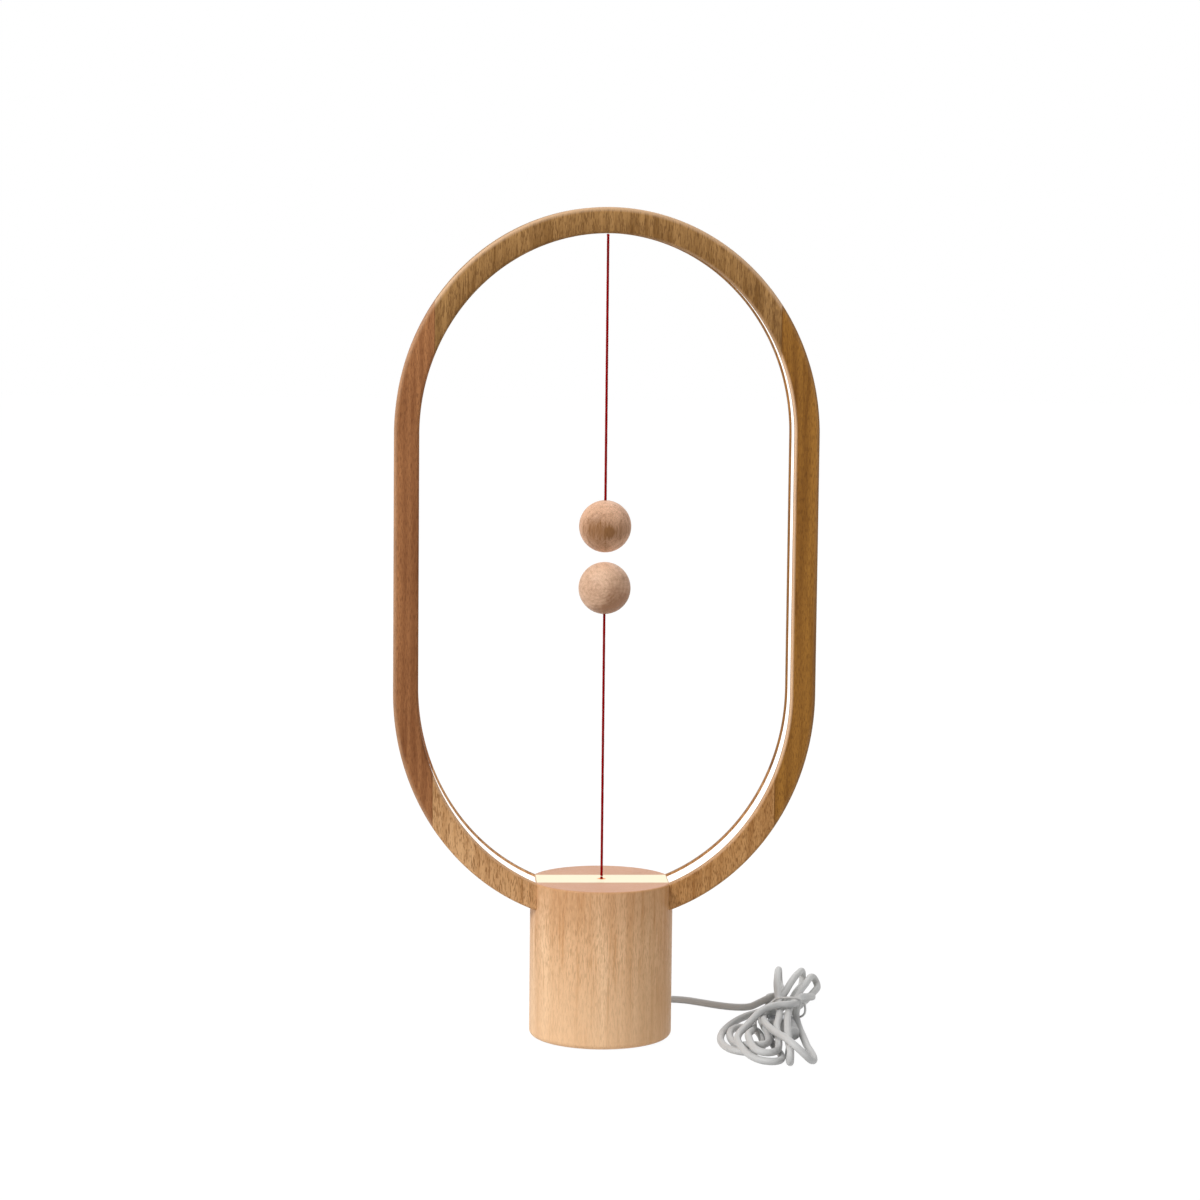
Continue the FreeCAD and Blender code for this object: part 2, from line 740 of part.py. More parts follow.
def make_board_parts():
    """The driver chip, two capacitors, a coil and the sockets on the circuit board."""
    tall = D["socket_height"]
    front = -board_radius
    parts = [
        box("driver_chip", (-14, front + 16, board_high), (6, 5, 1.6)),
        box("coil", (9, front + 10, board_high), (6, 6, 3)),
        box("switch_socket", (-4, 9, board_high), (8, 4, tall)),
    ]
    for k, (radius, x, inset) in enumerate(((2.5, -7, 8), (2.0, -1, 5))):
        parts.append(rod(f"capacitor_{k}", radius, (x, front + inset, board_high), tall))
    for side, name in ((-1, "left"), (1, "right")):
        parts.append(box(f"wire_socket_{name}", (wire_x * side - 1.5, -3.5, board_high), (3, 5, tall)))
    return group("board_parts", *parts)


def make_wires():
    """The two supply wires that rise from the circuit board to the lit strips."""
    foot = board_high + D["socket_height"]
    length = slot_floor - D["fit_gap"] * 2 - foot
    wires = [rod(f"{name}_wire", D["wire_radius"], (wire_x * side, 0, foot), length)
             for side, name in ((-1, "left"), (1, "right"))]
    return group("strip_wires", *wires)


# ---- the pull switch ----------------------------------------------------------------------------

def make_bracket():
    """The moulding under the cavity's ceiling that guides the slider and carries the microswitch."""
    ceiling = D["cavity_ceiling"]
    plate_low = ceiling - D["bracket_thickness"]
    plate = slab("bracket_plate", bracket_half, D["bracket_width"] / 2, plate_low,
                 D["bracket_thickness"])
    guide = rod("bracket_guide", D["guide_radius"], (0, 0, guide_low), D["guide_length"])
    tab = box("bracket_tab", (tab_x, -D["tab_width"] / 2, switch_low),
              (D["tab_thickness"], D["tab_width"], ceiling - switch_low))
    bores = [rod("bracket_bore", guide_bore, (0, 0, guide_low - OVERCUT), THROUGH)]
    screws = []
    for side, name in ((-1, "left"), (1, "right")):
        x = bracket_screw_x * side
        bores.append(rod(f"bracket_{name}_hole", D["screw_radius"] + D["screw_clearance"],
                         (x, 0, plate_low - OVERCUT), THROUGH))
        screws.append(screw(f"bracket_{name}_screw", x, 0, plate_low - D["screw_head_height"],
                            D["bracket_screw_length"]))
    bracket = cut("switch_bracket", fuse("bracket_solid", plate, guide, tab), *bores)
    return [bracket, group("bracket_screws", *screws)]


lever_top = D["flange_base"] - D["lever_gap"]
lever_low = lever_top - D["lever_thickness"]
hinge_z = lever_top - D["lever_hinge_drop"]
switch_high = lever_low - D["switch_body_gap"]
switch_low = switch_high - D["switch_body_height"]
tab_x = bracket_half - D["tab_thickness"]


def make_slider():
    """The plunger that the lower thread pulls up; its flange lets go of the switch's lever."""
    flange_top = D["flange_base"] + D["flange_thickness"]
    return turned("switch_slider", [
        (0, D["flange_base"]),
        (D["flange_radius"], D["flange_base"]),
        (D["flange_radius"], flange_top),
        (D["slider_radius"], flange_top),
        (D["slider_radius"], slider_top),
        (0, slider_top),
    ])


SPRING_TURNS = 4


def make_spring():
    """A light compression spring between the slider's flange and the guide."""
    wire = D["spring_wire_radius"].value
    radius = D["spring_radius"].value
    gap = wire + D["moving_clearance"].value
    low = D["flange_base"].value + D["flange_thickness"].value + gap
    high = guide_low.value - gap
    helix = Part.makeHelix((high - low) / SPRING_TURNS, high - low, radius)
    helix.translate(Vector(0, 0, low))
    start = Part.Wire(Part.makeCircle(wire, Vector(radius, 0, low), Vector(0, 1, 0)))
    coil = Part.Wire(helix.Edges).makePipeShell([start], True, True)
    return computed("switch_spring", Part.Solid(coil) if coil.ShapeType == "Shell" else coil)


def make_microswitch():
    """The switch's case with two ears, its hinge pin, its lever and its button."""
    half = D["lever_width"] / 2
    ear, gap = D["ear_thickness"], D["moving_clearance"]
    case_half = D["switch_body_width"] / 2
    case_body = box("microswitch_case", (tab_x - D["switch_body_length"], -case_half, switch_low),
                    (D["switch_body_length"], case_half * 2, D["switch_body_height"]))
    ear_inner = half + D["ear_gap"]
    ears = []
    for name, low_y in (("front", -ear_inner - ear), ("back", ear_inner)):
        ears.append(box(f"microswitch_{name}_ear", (lever_hinge_x - ear, low_y, switch_high),
                        (tab_x - lever_hinge_x + ear, ear, hinge_z - switch_high + ear)))
    well_low = switch_high - D["button_seat"] - D["slider_travel"]
    well = rod("microswitch_well", D["button_radius"] + gap, (button_x, 0, well_low), THROUGH)
    pin_hole = rod("microswitch_pin_hole", D["lever_pin_radius"],
                   (lever_hinge_x, -case_half, hinge_z), case_half * 2, "Y")
    case = cut("microswitch", fuse("microswitch_solid", case_body, *ears), well, pin_hole)
    pin_half = ear_inner + ear - gap
    pin = rod("lever_pin", D["lever_pin_radius"], (lever_hinge_x, -pin_half, hinge_z),
              pin_half * 2, "Y")
    arm = box("lever_arm", (D["lever_tip"], -half, lever_low),
              (lever_hinge_x - D["lever_tip"], half * 2, D["lever_thickness"]))
    boss = rod("lever_boss", D["lever_boss_radius"], (lever_hinge_x, -half, hinge_z), half * 2, "Y")
    bore = rod("lever_bore", D["lever_pin_radius"] + gap, (lever_hinge_x, -half - OVERCUT, hinge_z),
               THROUGH, "Y")
    lever = cut("switch_lever", fuse("lever_solid", arm, boss), bore)
    button_low = switch_high - D["button_seat"]
    button = rod("switch_button", D["button_radius"], (button_x, 0, button_low),
                 lever_low - D["lever_gap"] - button_low)
    return [case, pin, lever, button]


# ---- balls and threads ----------------------------------------------------------------------------

def make_ball(name, centre, thread_side):
    """A wooden ball with a thread bore in one pole and a magnet behind a plug in the other."""
    radius, cover = D["ball_radius"], D["magnet_cover"]
    well = D["magnet_radius"] + D["magnet_clearance"]
    up = thread_side > 0
    whole = ball(f"{name}_ball_turned", radius, 0, 0, centre)
    bore_radius = D["thread_radius"] + D["thread_clearance"]
    bore_length = D["thread_seat"] + D["thread_clearance"]
    bore_low = centre + radius - bore_length if up else centre - radius - OVERCUT
    bore = rod(f"{name}_ball_bore", bore_radius, (0, 0, bore_low), bore_length + OVERCUT)
    well_depth = cover + D["magnet_thickness"] + D["magnet_clearance"]
    well_low = centre - radius - OVERCUT if up else centre + radius - well_depth
    pocket = rod(f"{name}_magnet_well", well, (0, 0, well_low), well_depth + OVERCUT)
    wood = cut(f"{name}_ball", whole, bore, pocket)
    magnet_low = centre - radius + cover if up else centre + radius - cover - D["magnet_thickness"]
    magnet = rod(f"{name}_magnet", D["magnet_radius"], (0, 0, magnet_low), D["magnet_thickness"])
    plug_low = centre - radius - OVERCUT if up else centre + radius - cover
    stopper = rod(f"{name}_plug_rod", well - D["fit_gap"], (0, 0, plug_low), cover + OVERCUT)
    sphere = ball(f"{name}_plug_sphere", radius, 0, 0, centre)
    plug = common(f"{name}_ball_plug", stopper, sphere)
    return [wood, magnet, plug]


def make_threads():
    """The anchor in the ring's crown, and each thread in the stretches that move apart."""
    seat = D["thread_seat"]
    radius = D["thread_radius"]
    upper_end = upper_ball_z + D["ball_radius"] - seat
    lower_start = lower_pivot + knot_reach
    lower_end = lower_ball_z - D["ball_radius"] + seat
    strip_face = inner_top + D["channel_depth"] - D["strip_thickness"] - D["fit_gap"] * 2
    head_low = strip_face - D["anchor_head_height"]
    head = rod("anchor_head", D["anchor_radius"] + D["anchor_rim"], (0, 0, head_low),
               D["anchor_head_height"])
    shank = rod("anchor_shank", thread_hole - D["magnet_clearance"], (0, 0, strip_face),
                D["anchor_shank_length"])
    thread_top = head_low + D["anchor_head_height"]
    bore = rod("anchor_bore", radius, (0, 0, head_low - OVERCUT), D["anchor_head_height"] + OVERCUT)
    anchor = cut("upper_anchor", fuse("anchor_solid", head, shank), bore)
    stub_low = upper_pivot + knot_reach
    return [
        anchor,
        rod("anchor_thread", radius, (0, 0, stub_low), thread_top - stub_low),
        ball("upper_knot", D["knot_radius"], 0, 0, upper_pivot),
        rod("upper_thread", radius, (0, 0, upper_end), upper_pivot - knot_reach - upper_end),
        ball("lower_knot", D["knot_radius"], 0, 0, lower_pivot),
        rod("lower_thread", radius, (0, 0, lower_start), lower_end - lower_start),
        rod("pull_thread", radius, (0, 0, slider_top), lower_pivot - knot_reach - slider_top),
    ]


# ---- the cord -------------------------------------------------------------------------------------

# The free stretch, from the end of the strain relief to the hank, chosen point by point.
CORD_ROUTE = [
    (0.0, 44.0, 8.0),
    (0.0, 52.0, 8.0),
    (5.0, 60.7, 5.0),
    (15.6, 66.4, 2.6),
    (29.5, 68.3, 1.75),
    (44.5, 67.6, 1.75),
    (54.8, 59.8, 1.75),
    (62.4, 53.7, 1.75),
    (70.2, 49.6, 1.75),
    (78.0, 49.6, 1.75),
]
ARC_SHARE = 0.45


def rounded_path(points, share=ARC_SHARE):
    """Straight runs joined by tangent arcs; prints each arc's radius."""
    points = [Vector(*p) for p in points]
    edges, radii = [], []
    start = points[0]
    for before, corner, after in zip(points, points[1:], points[2:]):
        back, on = before - corner, after - corner
        reach = share * min(back.Length, on.Length)
        half_turn = (math.pi - back.getAngle(on)) / 2
        radii.append(reach / math.tan(half_turn))
        first = corner + back.normalize() * reach
        last = corner + on.normalize() * reach
        bisector = (back + on).normalize()
        centre_distance = radii[-1] / math.cos(half_turn)
        middle = corner + bisector * (centre_distance - radii[-1])
        edges.append(Part.LineSegment(start, first).toShape())
        edges.append(Part.Arc(first, middle, last).toShape())
        start = last
    edges.append(Part.LineSegment(start, points[-1]).toShape())
    print("arc radii", [round(radius, 1) for radius in radii])
    return Part.Wire(edges)


def tube(label, points, radius):
    path = rounded_path(points)
    direction = Vector(*points[1]) - Vector(*points[0])
    section = Part.Wire(Part.makeCircle(radius, Vector(*points[0]), direction))
    solid = path.makePipeShell([section], True, True)
    expected = math.pi * radius ** 2 * path.Length
    print(label, "length", round(path.Length, 1), "volume share", round(solid.Volume / expected, 4))
    return computed(label, solid)


# The tied hank lies beside the base: its outline from above.  The tie holds it at its waist, and
# the plug lies under its front loops.
HANK_OUTLINE = [(55, -22), (58, 2), (78, 42), (78, 58), (90, 72), (94, 87), (108, 91), (116, 86),
                (110, 46), (100.5, 20), (100, -62), (95, -71), (83, -69), (68, -61), (57, -40)]
HANK_HEIGHT = 15.5
TIE_CORNER = (86.2, 29.5, 0.6)
TIE_SIZE = (15.8, 0.8, 22.0)
TIE_LEAN = 51.0                   # degrees that the tie leans to the front


def make_hank(pocket):
    """The hank as one solid, with a groove for its wire tie and a pocket for the plug."""
    corners = [Vector(x, y, 0) for x, y in HANK_OUTLINE]
    face = Part.Face(Part.makePolygon(corners + corners[:1]))
    corner = Vector(*TIE_CORNER)
    tie = Part.makeBox(*TIE_SIZE, corner)
    wire = TIE_SIZE[1]
    inside = Part.makeBox(TIE_SIZE[0] - 2 * wire, wire, TIE_SIZE[2] - 2 * wire,
                          corner + Vector(wire, 0, wire))
    tie = tie.cut(inside)
    tie.rotate(corner, Vector(1, 0, 0), TIE_LEAN)
    hank = face.extrude(Vector(0, 0, HANK_HEIGHT)).cut(pocket).cut(tie)
    return [computed("cord_hank", hank), computed("cord_tie", tie)]


def make_cord():
    """The lead: its free stretch, the strain relief, and what lies inside the base."""
    radius = D["cord_radius"].value
    free = tube("cord_tube", CORD_ROUTE, radius)
    exit_z = D["cord_exit_height"]
    wall = D["base_radius"]
    thick = D["relief_radius"]
    cord_bore = D["cord_radius"] + D["fit_gap"]
    collar = rod("relief_collar", thick + D["relief_collar"], (0, wall, exit_z), D["relief_collar"], "Y")
    through = rod("relief_through", thick, (0, cavity_radius - OVERCUT, exit_z),
                  D["base_wall"] + OVERCUT * 2, "Y")
    taper = cone("relief_taper", thick - D["fit_gap"] * 2, D["cord_radius"] + D["relief_tip_wall"],
                 (0, wall + OVERCUT, exit_z), D["relief_length"] - OVERCUT, "Y")
    bore = rod("relief_bore", cord_bore, (0, 0, exit_z), THROUGH, "Y")
    relief = cut("strain_relief", fuse("relief_solid", collar, through, taper), bore)
    inside = [
        (0, wall.value - 0.5, exit_z.value),
        (0, 2.0, exit_z.value),
        (0, 2.0, board_low.value),
    ]
    lead = tube("inner_lead", inside, radius)
    crimp_start = cavity_radius - OVERCUT - D["fit_gap"] * 10 - D["crimp_length"]
    crimp_body = rod("crimp_body", thick + D["crimp_wall"], (0, crimp_start, exit_z),
                     D["crimp_length"], "Y")
    crimp_bore = rod("crimp_bore", cord_bore, (0, 0, exit_z), THROUGH, "Y")
    crimp = cut("cord_crimp", crimp_body, crimp_bore)
    return [free, relief, lead, crimp]


# Where the cord enters the plug, which points to the lamp's back.
PLUG_X, PLUG_Y = 89.5, -16.0
PLUG_ROOM = 0.3                   # between the plug and the hank round it


def plug_block(label, width, start_y, length, low, height):
    """A block of the plug, centred on its own axis, that runs to the back from start_y."""
    return box(label, (PLUG_X - width / 2, start_y, low), (width, length, height))


def plug_pocket():
    """The room that the plug needs in the hank."""
    width = D["plug_grip_width"].value + PLUG_ROOM * 2
    length = D["plug_grip_length"].value + D["plug_shell_length"].value + PLUG_ROOM * 2
    return Part.makeBox(width, length, D["plug_grip_height"].value + PLUG_ROOM,
                        Vector(PLUG_X - width / 2, PLUG_Y - PLUG_ROOM, 0))


def make_plug():
    """A flat USB plug: a soft grip, the sheet-metal shell and the tongue inside it."""
    grip_high, wall = D["plug_grip_height"], D["plug_shell_wall"]
    grip = plug_block("plug_grip", D["plug_grip_width"], PLUG_Y, D["plug_grip_length"], 0, grip_high)
    soft_grip = doc.addObject("Part::Fillet", "usb_plug_body")
    soft_grip.Label = "usb_plug_body"
    soft_grip.Base = grip
    doc.recompute()
    edge = D["plug_grip_edge"].value
    long_edges = [number for number, side in enumerate(grip.Shape.Edges, start=1)
                  if side.BoundBox.YLength > D["plug_grip_width"].value]
    soft_grip.Edges = [(number, edge, edge) for number in long_edges]
    shell_y = PLUG_Y + D["plug_grip_length"]
    shell_low = (grip_high - D["plug_shell_height"]) / 2
    length = D["plug_shell_length"]
    hollow = D["plug_shell_width"] - wall * 2
    outer = plug_block("plug_shell_outer", D["plug_shell_width"], shell_y, length, shell_low,
                       D["plug_shell_height"])
    inner = plug_block("plug_shell_inner", hollow, shell_y, length + OVERCUT, shell_low + wall,
                       D["plug_shell_height"] - wall * 2)
    shell = cut("usb_plug_shell", outer, inner)
    gap = D["fit_gap"]
    tongue = plug_block("usb_plug_tongue", hollow - gap * 2, shell_y, length - wall * 2,
                        shell_low + wall + gap, D["plug_tongue_height"])
    return [soft_grip, shell, tongue]


# ---- everything together ----------------------------------------------------------------------------

NODES = ring_pieces + [make_base()] + make_base_light() + [make_cover()] + make_base_fittings()
NODES += [make_board_parts(), make_wires()]
NODES += make_bracket() + [make_slider(), make_spring()] + make_microswitch()
NODES += make_threads() + make_ball("upper", upper_ball_z, 1) + make_ball("lower", lower_ball_z, -1)
NODES += make_cord() + make_hank(plug_pocket()) + make_plug()

doc.recompute()
for item in doc.Objects:
    if "Invalid" in item.State or "Error" in item.State:
        raise RuntimeError(f"{item.Label} did not compute: {item.State}")
for node in NODES:
    if node.Shape.isNull() or not node.Shape.isValid():
        raise RuntimeError(f"{node.Label} has no valid shape")
os.makedirs("parts", exist_ok=True)
for node in NODES:
    node.Shape.exportStep(f"parts/{node.Label}.step")
print(len(NODES), "nodes")
for label, height in (("upper pivot", upper_pivot), ("lower pivot", lower_pivot),
                      ("upper ball", upper_ball_z), ("lower ball", lower_ball_z),
                      ("lever hinge", hinge_z), ("guide", guide_low),
                      ("lower centre", lower_centre), ("upper centre", upper_centre)):
    print(label, "at z", round(height.value, 4))
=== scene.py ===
# %% [markdown]
# # A balance lamp: the looks of an oval beech ring, two balls and a tied cord
#
# The lamp is an upright oval ring of beech with a lit strip let into its inner face. It stands in a
# round beech base. A wooden ball hangs on a red thread from the crown, and magnets hold a second one,
# tied to the base, in the air below it. A grey cord leaves the base at the back. The construction
# comes from a CAD model, which is the fixed frame. Everything here is in metres, in that frame, so a
# new piece goes where the frame says.

import json
from math import cos, pi, radians, sin, tau

import bmesh
import bpy
from mathutils import Matrix, Vector


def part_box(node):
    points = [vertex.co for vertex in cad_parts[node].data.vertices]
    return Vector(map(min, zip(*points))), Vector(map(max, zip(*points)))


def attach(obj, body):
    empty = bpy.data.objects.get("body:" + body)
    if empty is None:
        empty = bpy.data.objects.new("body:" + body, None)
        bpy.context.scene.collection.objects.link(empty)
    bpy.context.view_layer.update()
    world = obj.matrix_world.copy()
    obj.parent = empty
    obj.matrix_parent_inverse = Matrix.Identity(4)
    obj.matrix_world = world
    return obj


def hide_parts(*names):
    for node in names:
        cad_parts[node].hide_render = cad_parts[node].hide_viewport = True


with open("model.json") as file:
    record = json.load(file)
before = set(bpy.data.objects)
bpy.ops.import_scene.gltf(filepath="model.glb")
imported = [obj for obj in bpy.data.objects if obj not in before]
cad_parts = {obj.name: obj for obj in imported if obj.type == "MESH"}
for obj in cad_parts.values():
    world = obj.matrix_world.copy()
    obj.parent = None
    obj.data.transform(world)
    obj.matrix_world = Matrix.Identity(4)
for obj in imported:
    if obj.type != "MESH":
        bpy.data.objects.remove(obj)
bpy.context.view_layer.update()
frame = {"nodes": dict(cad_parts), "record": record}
MM = 0.001
NODES = frame["nodes"]


def placed(name, data):
    """A new object that holds this data, linked into the scene."""
    piece = bpy.data.objects.new(name, data)
    bpy.context.scene.collection.objects.link(piece)
    return piece


# %% [markdown]
# ## The camera
#
# The lamp is seen from the front, a little from the left and from above, through a long lens, so the
# uprights of the ring stay parallel. A camera looks along its own -Z axis. Three turns place it, and
# their product is read from the right: a slight roll, then up to nearly level, then about the vertical.

# %% Camera
CAMERA_PLACE = (-0.08857, -1.61428, 0.39158)
CAMERA_YAW = 0.0535
CAMERA_PITCH = -0.1102
CAMERA_ROLL = 0.01033
CAMERA_LENS = 101.72


def make_camera():
    data = bpy.data.cameras.new("camera")
    data.lens = CAMERA_LENS
    data.sensor_width = 36
    data.clip_end = 50
    camera = placed("camera", data)
    turn = Matrix.Rotation(-CAMERA_YAW, 4, "Z") @ Matrix.Rotation(pi / 2 + CAMERA_PITCH, 4, "X")
    camera.matrix_world = Matrix.Translation(CAMERA_PLACE) @ turn @ Matrix.Rotation(CAMERA_ROLL, 4, "Z")
    bpy.context.scene.camera = camera


make_camera()
print("camera", CAMERA_PLACE, "lens", CAMERA_LENS, "mm")

# %% [markdown]
# ## Expressions for shader nodes
#
# A material is a tree of nodes. Written node by node it is long and hard to read, so a small class
# wraps a node's output and overloads the arithmetic operators. `1 - mask * 0.4` then adds its Math
# nodes by itself. Colours don't go through Math nodes, which would turn them grey: they are mixed.

# %% A wire that can be added, multiplied and compared


class Wire:
    """The output of a node, with arithmetic."""

    def __init__(self, tree, socket):
        self.tree = tree
        self.socket = socket

    def maths(self, operation, *values, clamp=False):
        settings = {"operation": operation, "use_clamp": clamp}
        return self.tree.add("ShaderNodeMath", settings, dict(enumerate(values)))

    def __add__(self, other):
        return self.maths("ADD", self, other)

    def __sub__(self, other):
        return self.maths("SUBTRACT", self, other)

    def __mul__(self, other):
        return self.maths("MULTIPLY", self, other)

    def __truediv__(self, other):
        return self.maths("DIVIDE", self, other)

    def __rsub__(self, other):
        return self.maths("SUBTRACT", other, self)

    def __rtruediv__(self, other):
        return self.maths("DIVIDE", other, self)

    def __pow__(self, other):
        return self.maths("POWER", self, other)

    def __gt__(self, other):
        return self.maths("GREATER_THAN", self, other)

    __radd__ = __add__
    __rmul__ = __mul__

    def size(self):
        return self.maths("ABSOLUTE", self)

    def sine(self):
        return self.maths("SINE", self)

    def cosine(self):
        return self.maths("COSINE", self)

    def held(self):
        """The value held between 0 and 1."""
        return self.maths("ADD", self, 0.0, clamp=True)

    def ramp(self, low, high):
        """0 at low and below, 1 at high and above, with soft ends."""
        inputs = {"Value": self, "From Min": low, "From Max": high}
        return self.tree.add("ShaderNodeMapRange", {"interpolation_type": "SMOOTHSTEP"}, inputs)


class Tree:
    """A node tree that is filled in by calls."""

    def __init__(self, nodes_tree):
        self.tree = nodes_tree

    def add(self, kind, settings=None, inputs=None, output=0):
        """Adds a node: its settings first, then its inputs' values or links. Returns one output."""
        node = self.tree.nodes.new(kind)
        for name, value in (settings or {}).items():
            setattr(node, name, value)
        for key, value in (inputs or {}).items():
            self.plug(node.inputs[key], value)
        return Wire(self, node.outputs[output])

    def plug(self, socket, value):
        if isinstance(value, Wire):
            self.tree.links.new(value.socket, socket)
        else:
            socket.default_value = value

    def close(self, kind, result):
        """Adds the tree's output node and plugs the result into it."""
        self.plug(self.tree.nodes.new(kind).inputs[0], result)

    def mix(self, factor, first, second):
        """The second colour over the first."""
        inputs = {0: factor, 6: first, 7: second}
        return self.add("ShaderNodeMix", {"data_type": "RGBA"}, inputs, output=2)

    def vector(self, operation, first, second):
        return self.add("ShaderNodeVectorMath", {"operation": operation}, {0: first, 1: second})

    def parts(self, vector):
        node = self.tree.nodes.new("ShaderNodeSeparateXYZ")
        self.plug(node.inputs[0], vector)
        return [Wire(self, node.outputs[axis]) for axis in range(3)]

    def point(self, x, y, z):
        return self.add("ShaderNodeCombineXYZ", None, {"X": x, "Y": y, "Z": z})

    def place(self):
        """The point on the piece, in metres, in the frame."""
        return self.add("ShaderNodeTexCoord", output="Object")

    def noise(self, vector, size, detail=2.0, rough=0.5, stretch=(1, 1, 1)):
        """Clouds of a size in metres; a stretch below 1 makes them longer along that axis."""
        stretched = self.vector("MULTIPLY", vector, stretch)
        inputs = {"Vector": stretched, "Scale": 1 / size, "Detail": detail, "Roughness": rough}
        return self.add("ShaderNodeTexNoise", {"noise_dimensions": "3D"}, inputs)

    def bump(self, height, distance):
        """Dents and ridges; distance is their height in metres."""
        inputs = {"Height": height, "Distance": distance, "Strength": 1.0}
        return self.add("ShaderNodeBump", None, inputs)


def srgb(red, green, blue):
    """A colour as it is seen on a screen, 0 to 255, in the linear values that a shader works in."""
    linear = [c / 12.92 if c <= 0.04045 else ((c + 0.055) / 1.055) ** 2.4
              for c in (red / 255, green / 255, blue / 255)]
    return (*linear, 1.0)


def empty_tree(owner):
    """The tree of a material or a world, without the nodes that it starts with."""
    owner.use_nodes = True
    owner.node_tree.nodes.clear()
    return Tree(owner.node_tree)


def new_material(name):
    """A material with its tree and its shader, and the place of a point on the piece."""
    material = bpy.data.materials.new(name)
    tree = empty_tree(material)
    shader = tree.tree.nodes.new("ShaderNodeBsdfPrincipled")
    tree.close("ShaderNodeOutputMaterial", Wire(tree, shader.outputs[0]))
    return material, tree, shader, tree.place()


def finish_shader(tree, shader, **inputs):
    """Plugs values and wires into the shader: base_color stands for Base Color, and so on."""
    for name, value in inputs.items():
        tree.plug(shader.inputs[name.replace("_", " ").title().replace("Ior", "IOR")], value)


print("shader helpers ready")

# %% [markdown]
# ## Soft matt plastic and rubber
#
# The cord's sheath is a soft grey vinyl with a dull skin: a wide, weak shine and tiny dents from the
# die it was drawn through. One function serves every plain moulded part. Its colour wanders by a few
# per cent, and a fine noise dents the skin.

# %% Moulded plastic
PAINTED_LIGHT_FROM, PAINTED_LIGHT_FULL = 0.012, 0.045


def moulded(name, colour, roughness=0.5, wander=0.08, grain=0.00008, grain_size=0.0006, back=None,
            **extra):
    """A moulded or drawn skin: slightly uneven colour, and fine dents of the given size.

    back is a lighter colour, painted where the piece lies behind the lamp: painted light that makes up
    for the shade there.
    """
    material, tree, shader, place = new_material(name)
    cloud = tree.noise(place, 0.012, detail=3)
    fine = tree.noise(place, grain_size, detail=2)
    dark = [c * (1 - wander * 2) for c in colour[:3]] + [1.0]
    lightness = cloud.ramp(0.3, 0.7) * 0.75 + fine * 0.25
    colour = tree.mix(lightness, dark, colour)
    if back:
        # painted light: behind the lamp the colour turns to the lighter back colour
        colour = tree.mix(tree.parts(place)[1].ramp(PAINTED_LIGHT_FROM, PAINTED_LIGHT_FULL), colour, back)
    finish_shader(tree, shader, base_color=colour, roughness=roughness - 0.06 + fine * 0.12,
                  normal=tree.bump(fine, grain), **extra)
    return material


# The cord behind the lamp is painted lighter: painted light against the shade that it lies in.
GREY_CORD = moulded("cord_vinyl", srgb(206, 206, 205), roughness=0.5, wander=0.03, grain=0.00002,
                    back=srgb(219, 219, 217), specular_ior_level=0.4)
PLUG_GREY = moulded("plug_vinyl", srgb(206, 206, 205), roughness=0.48, wander=0.03)
TIE_WHITE = moulded("tie_vinyl", srgb(206, 206, 204), roughness=0.4, wander=0.02)
print("plastics:", GREY_CORD.name, PLUG_GREY.name, TIE_WHITE.name)
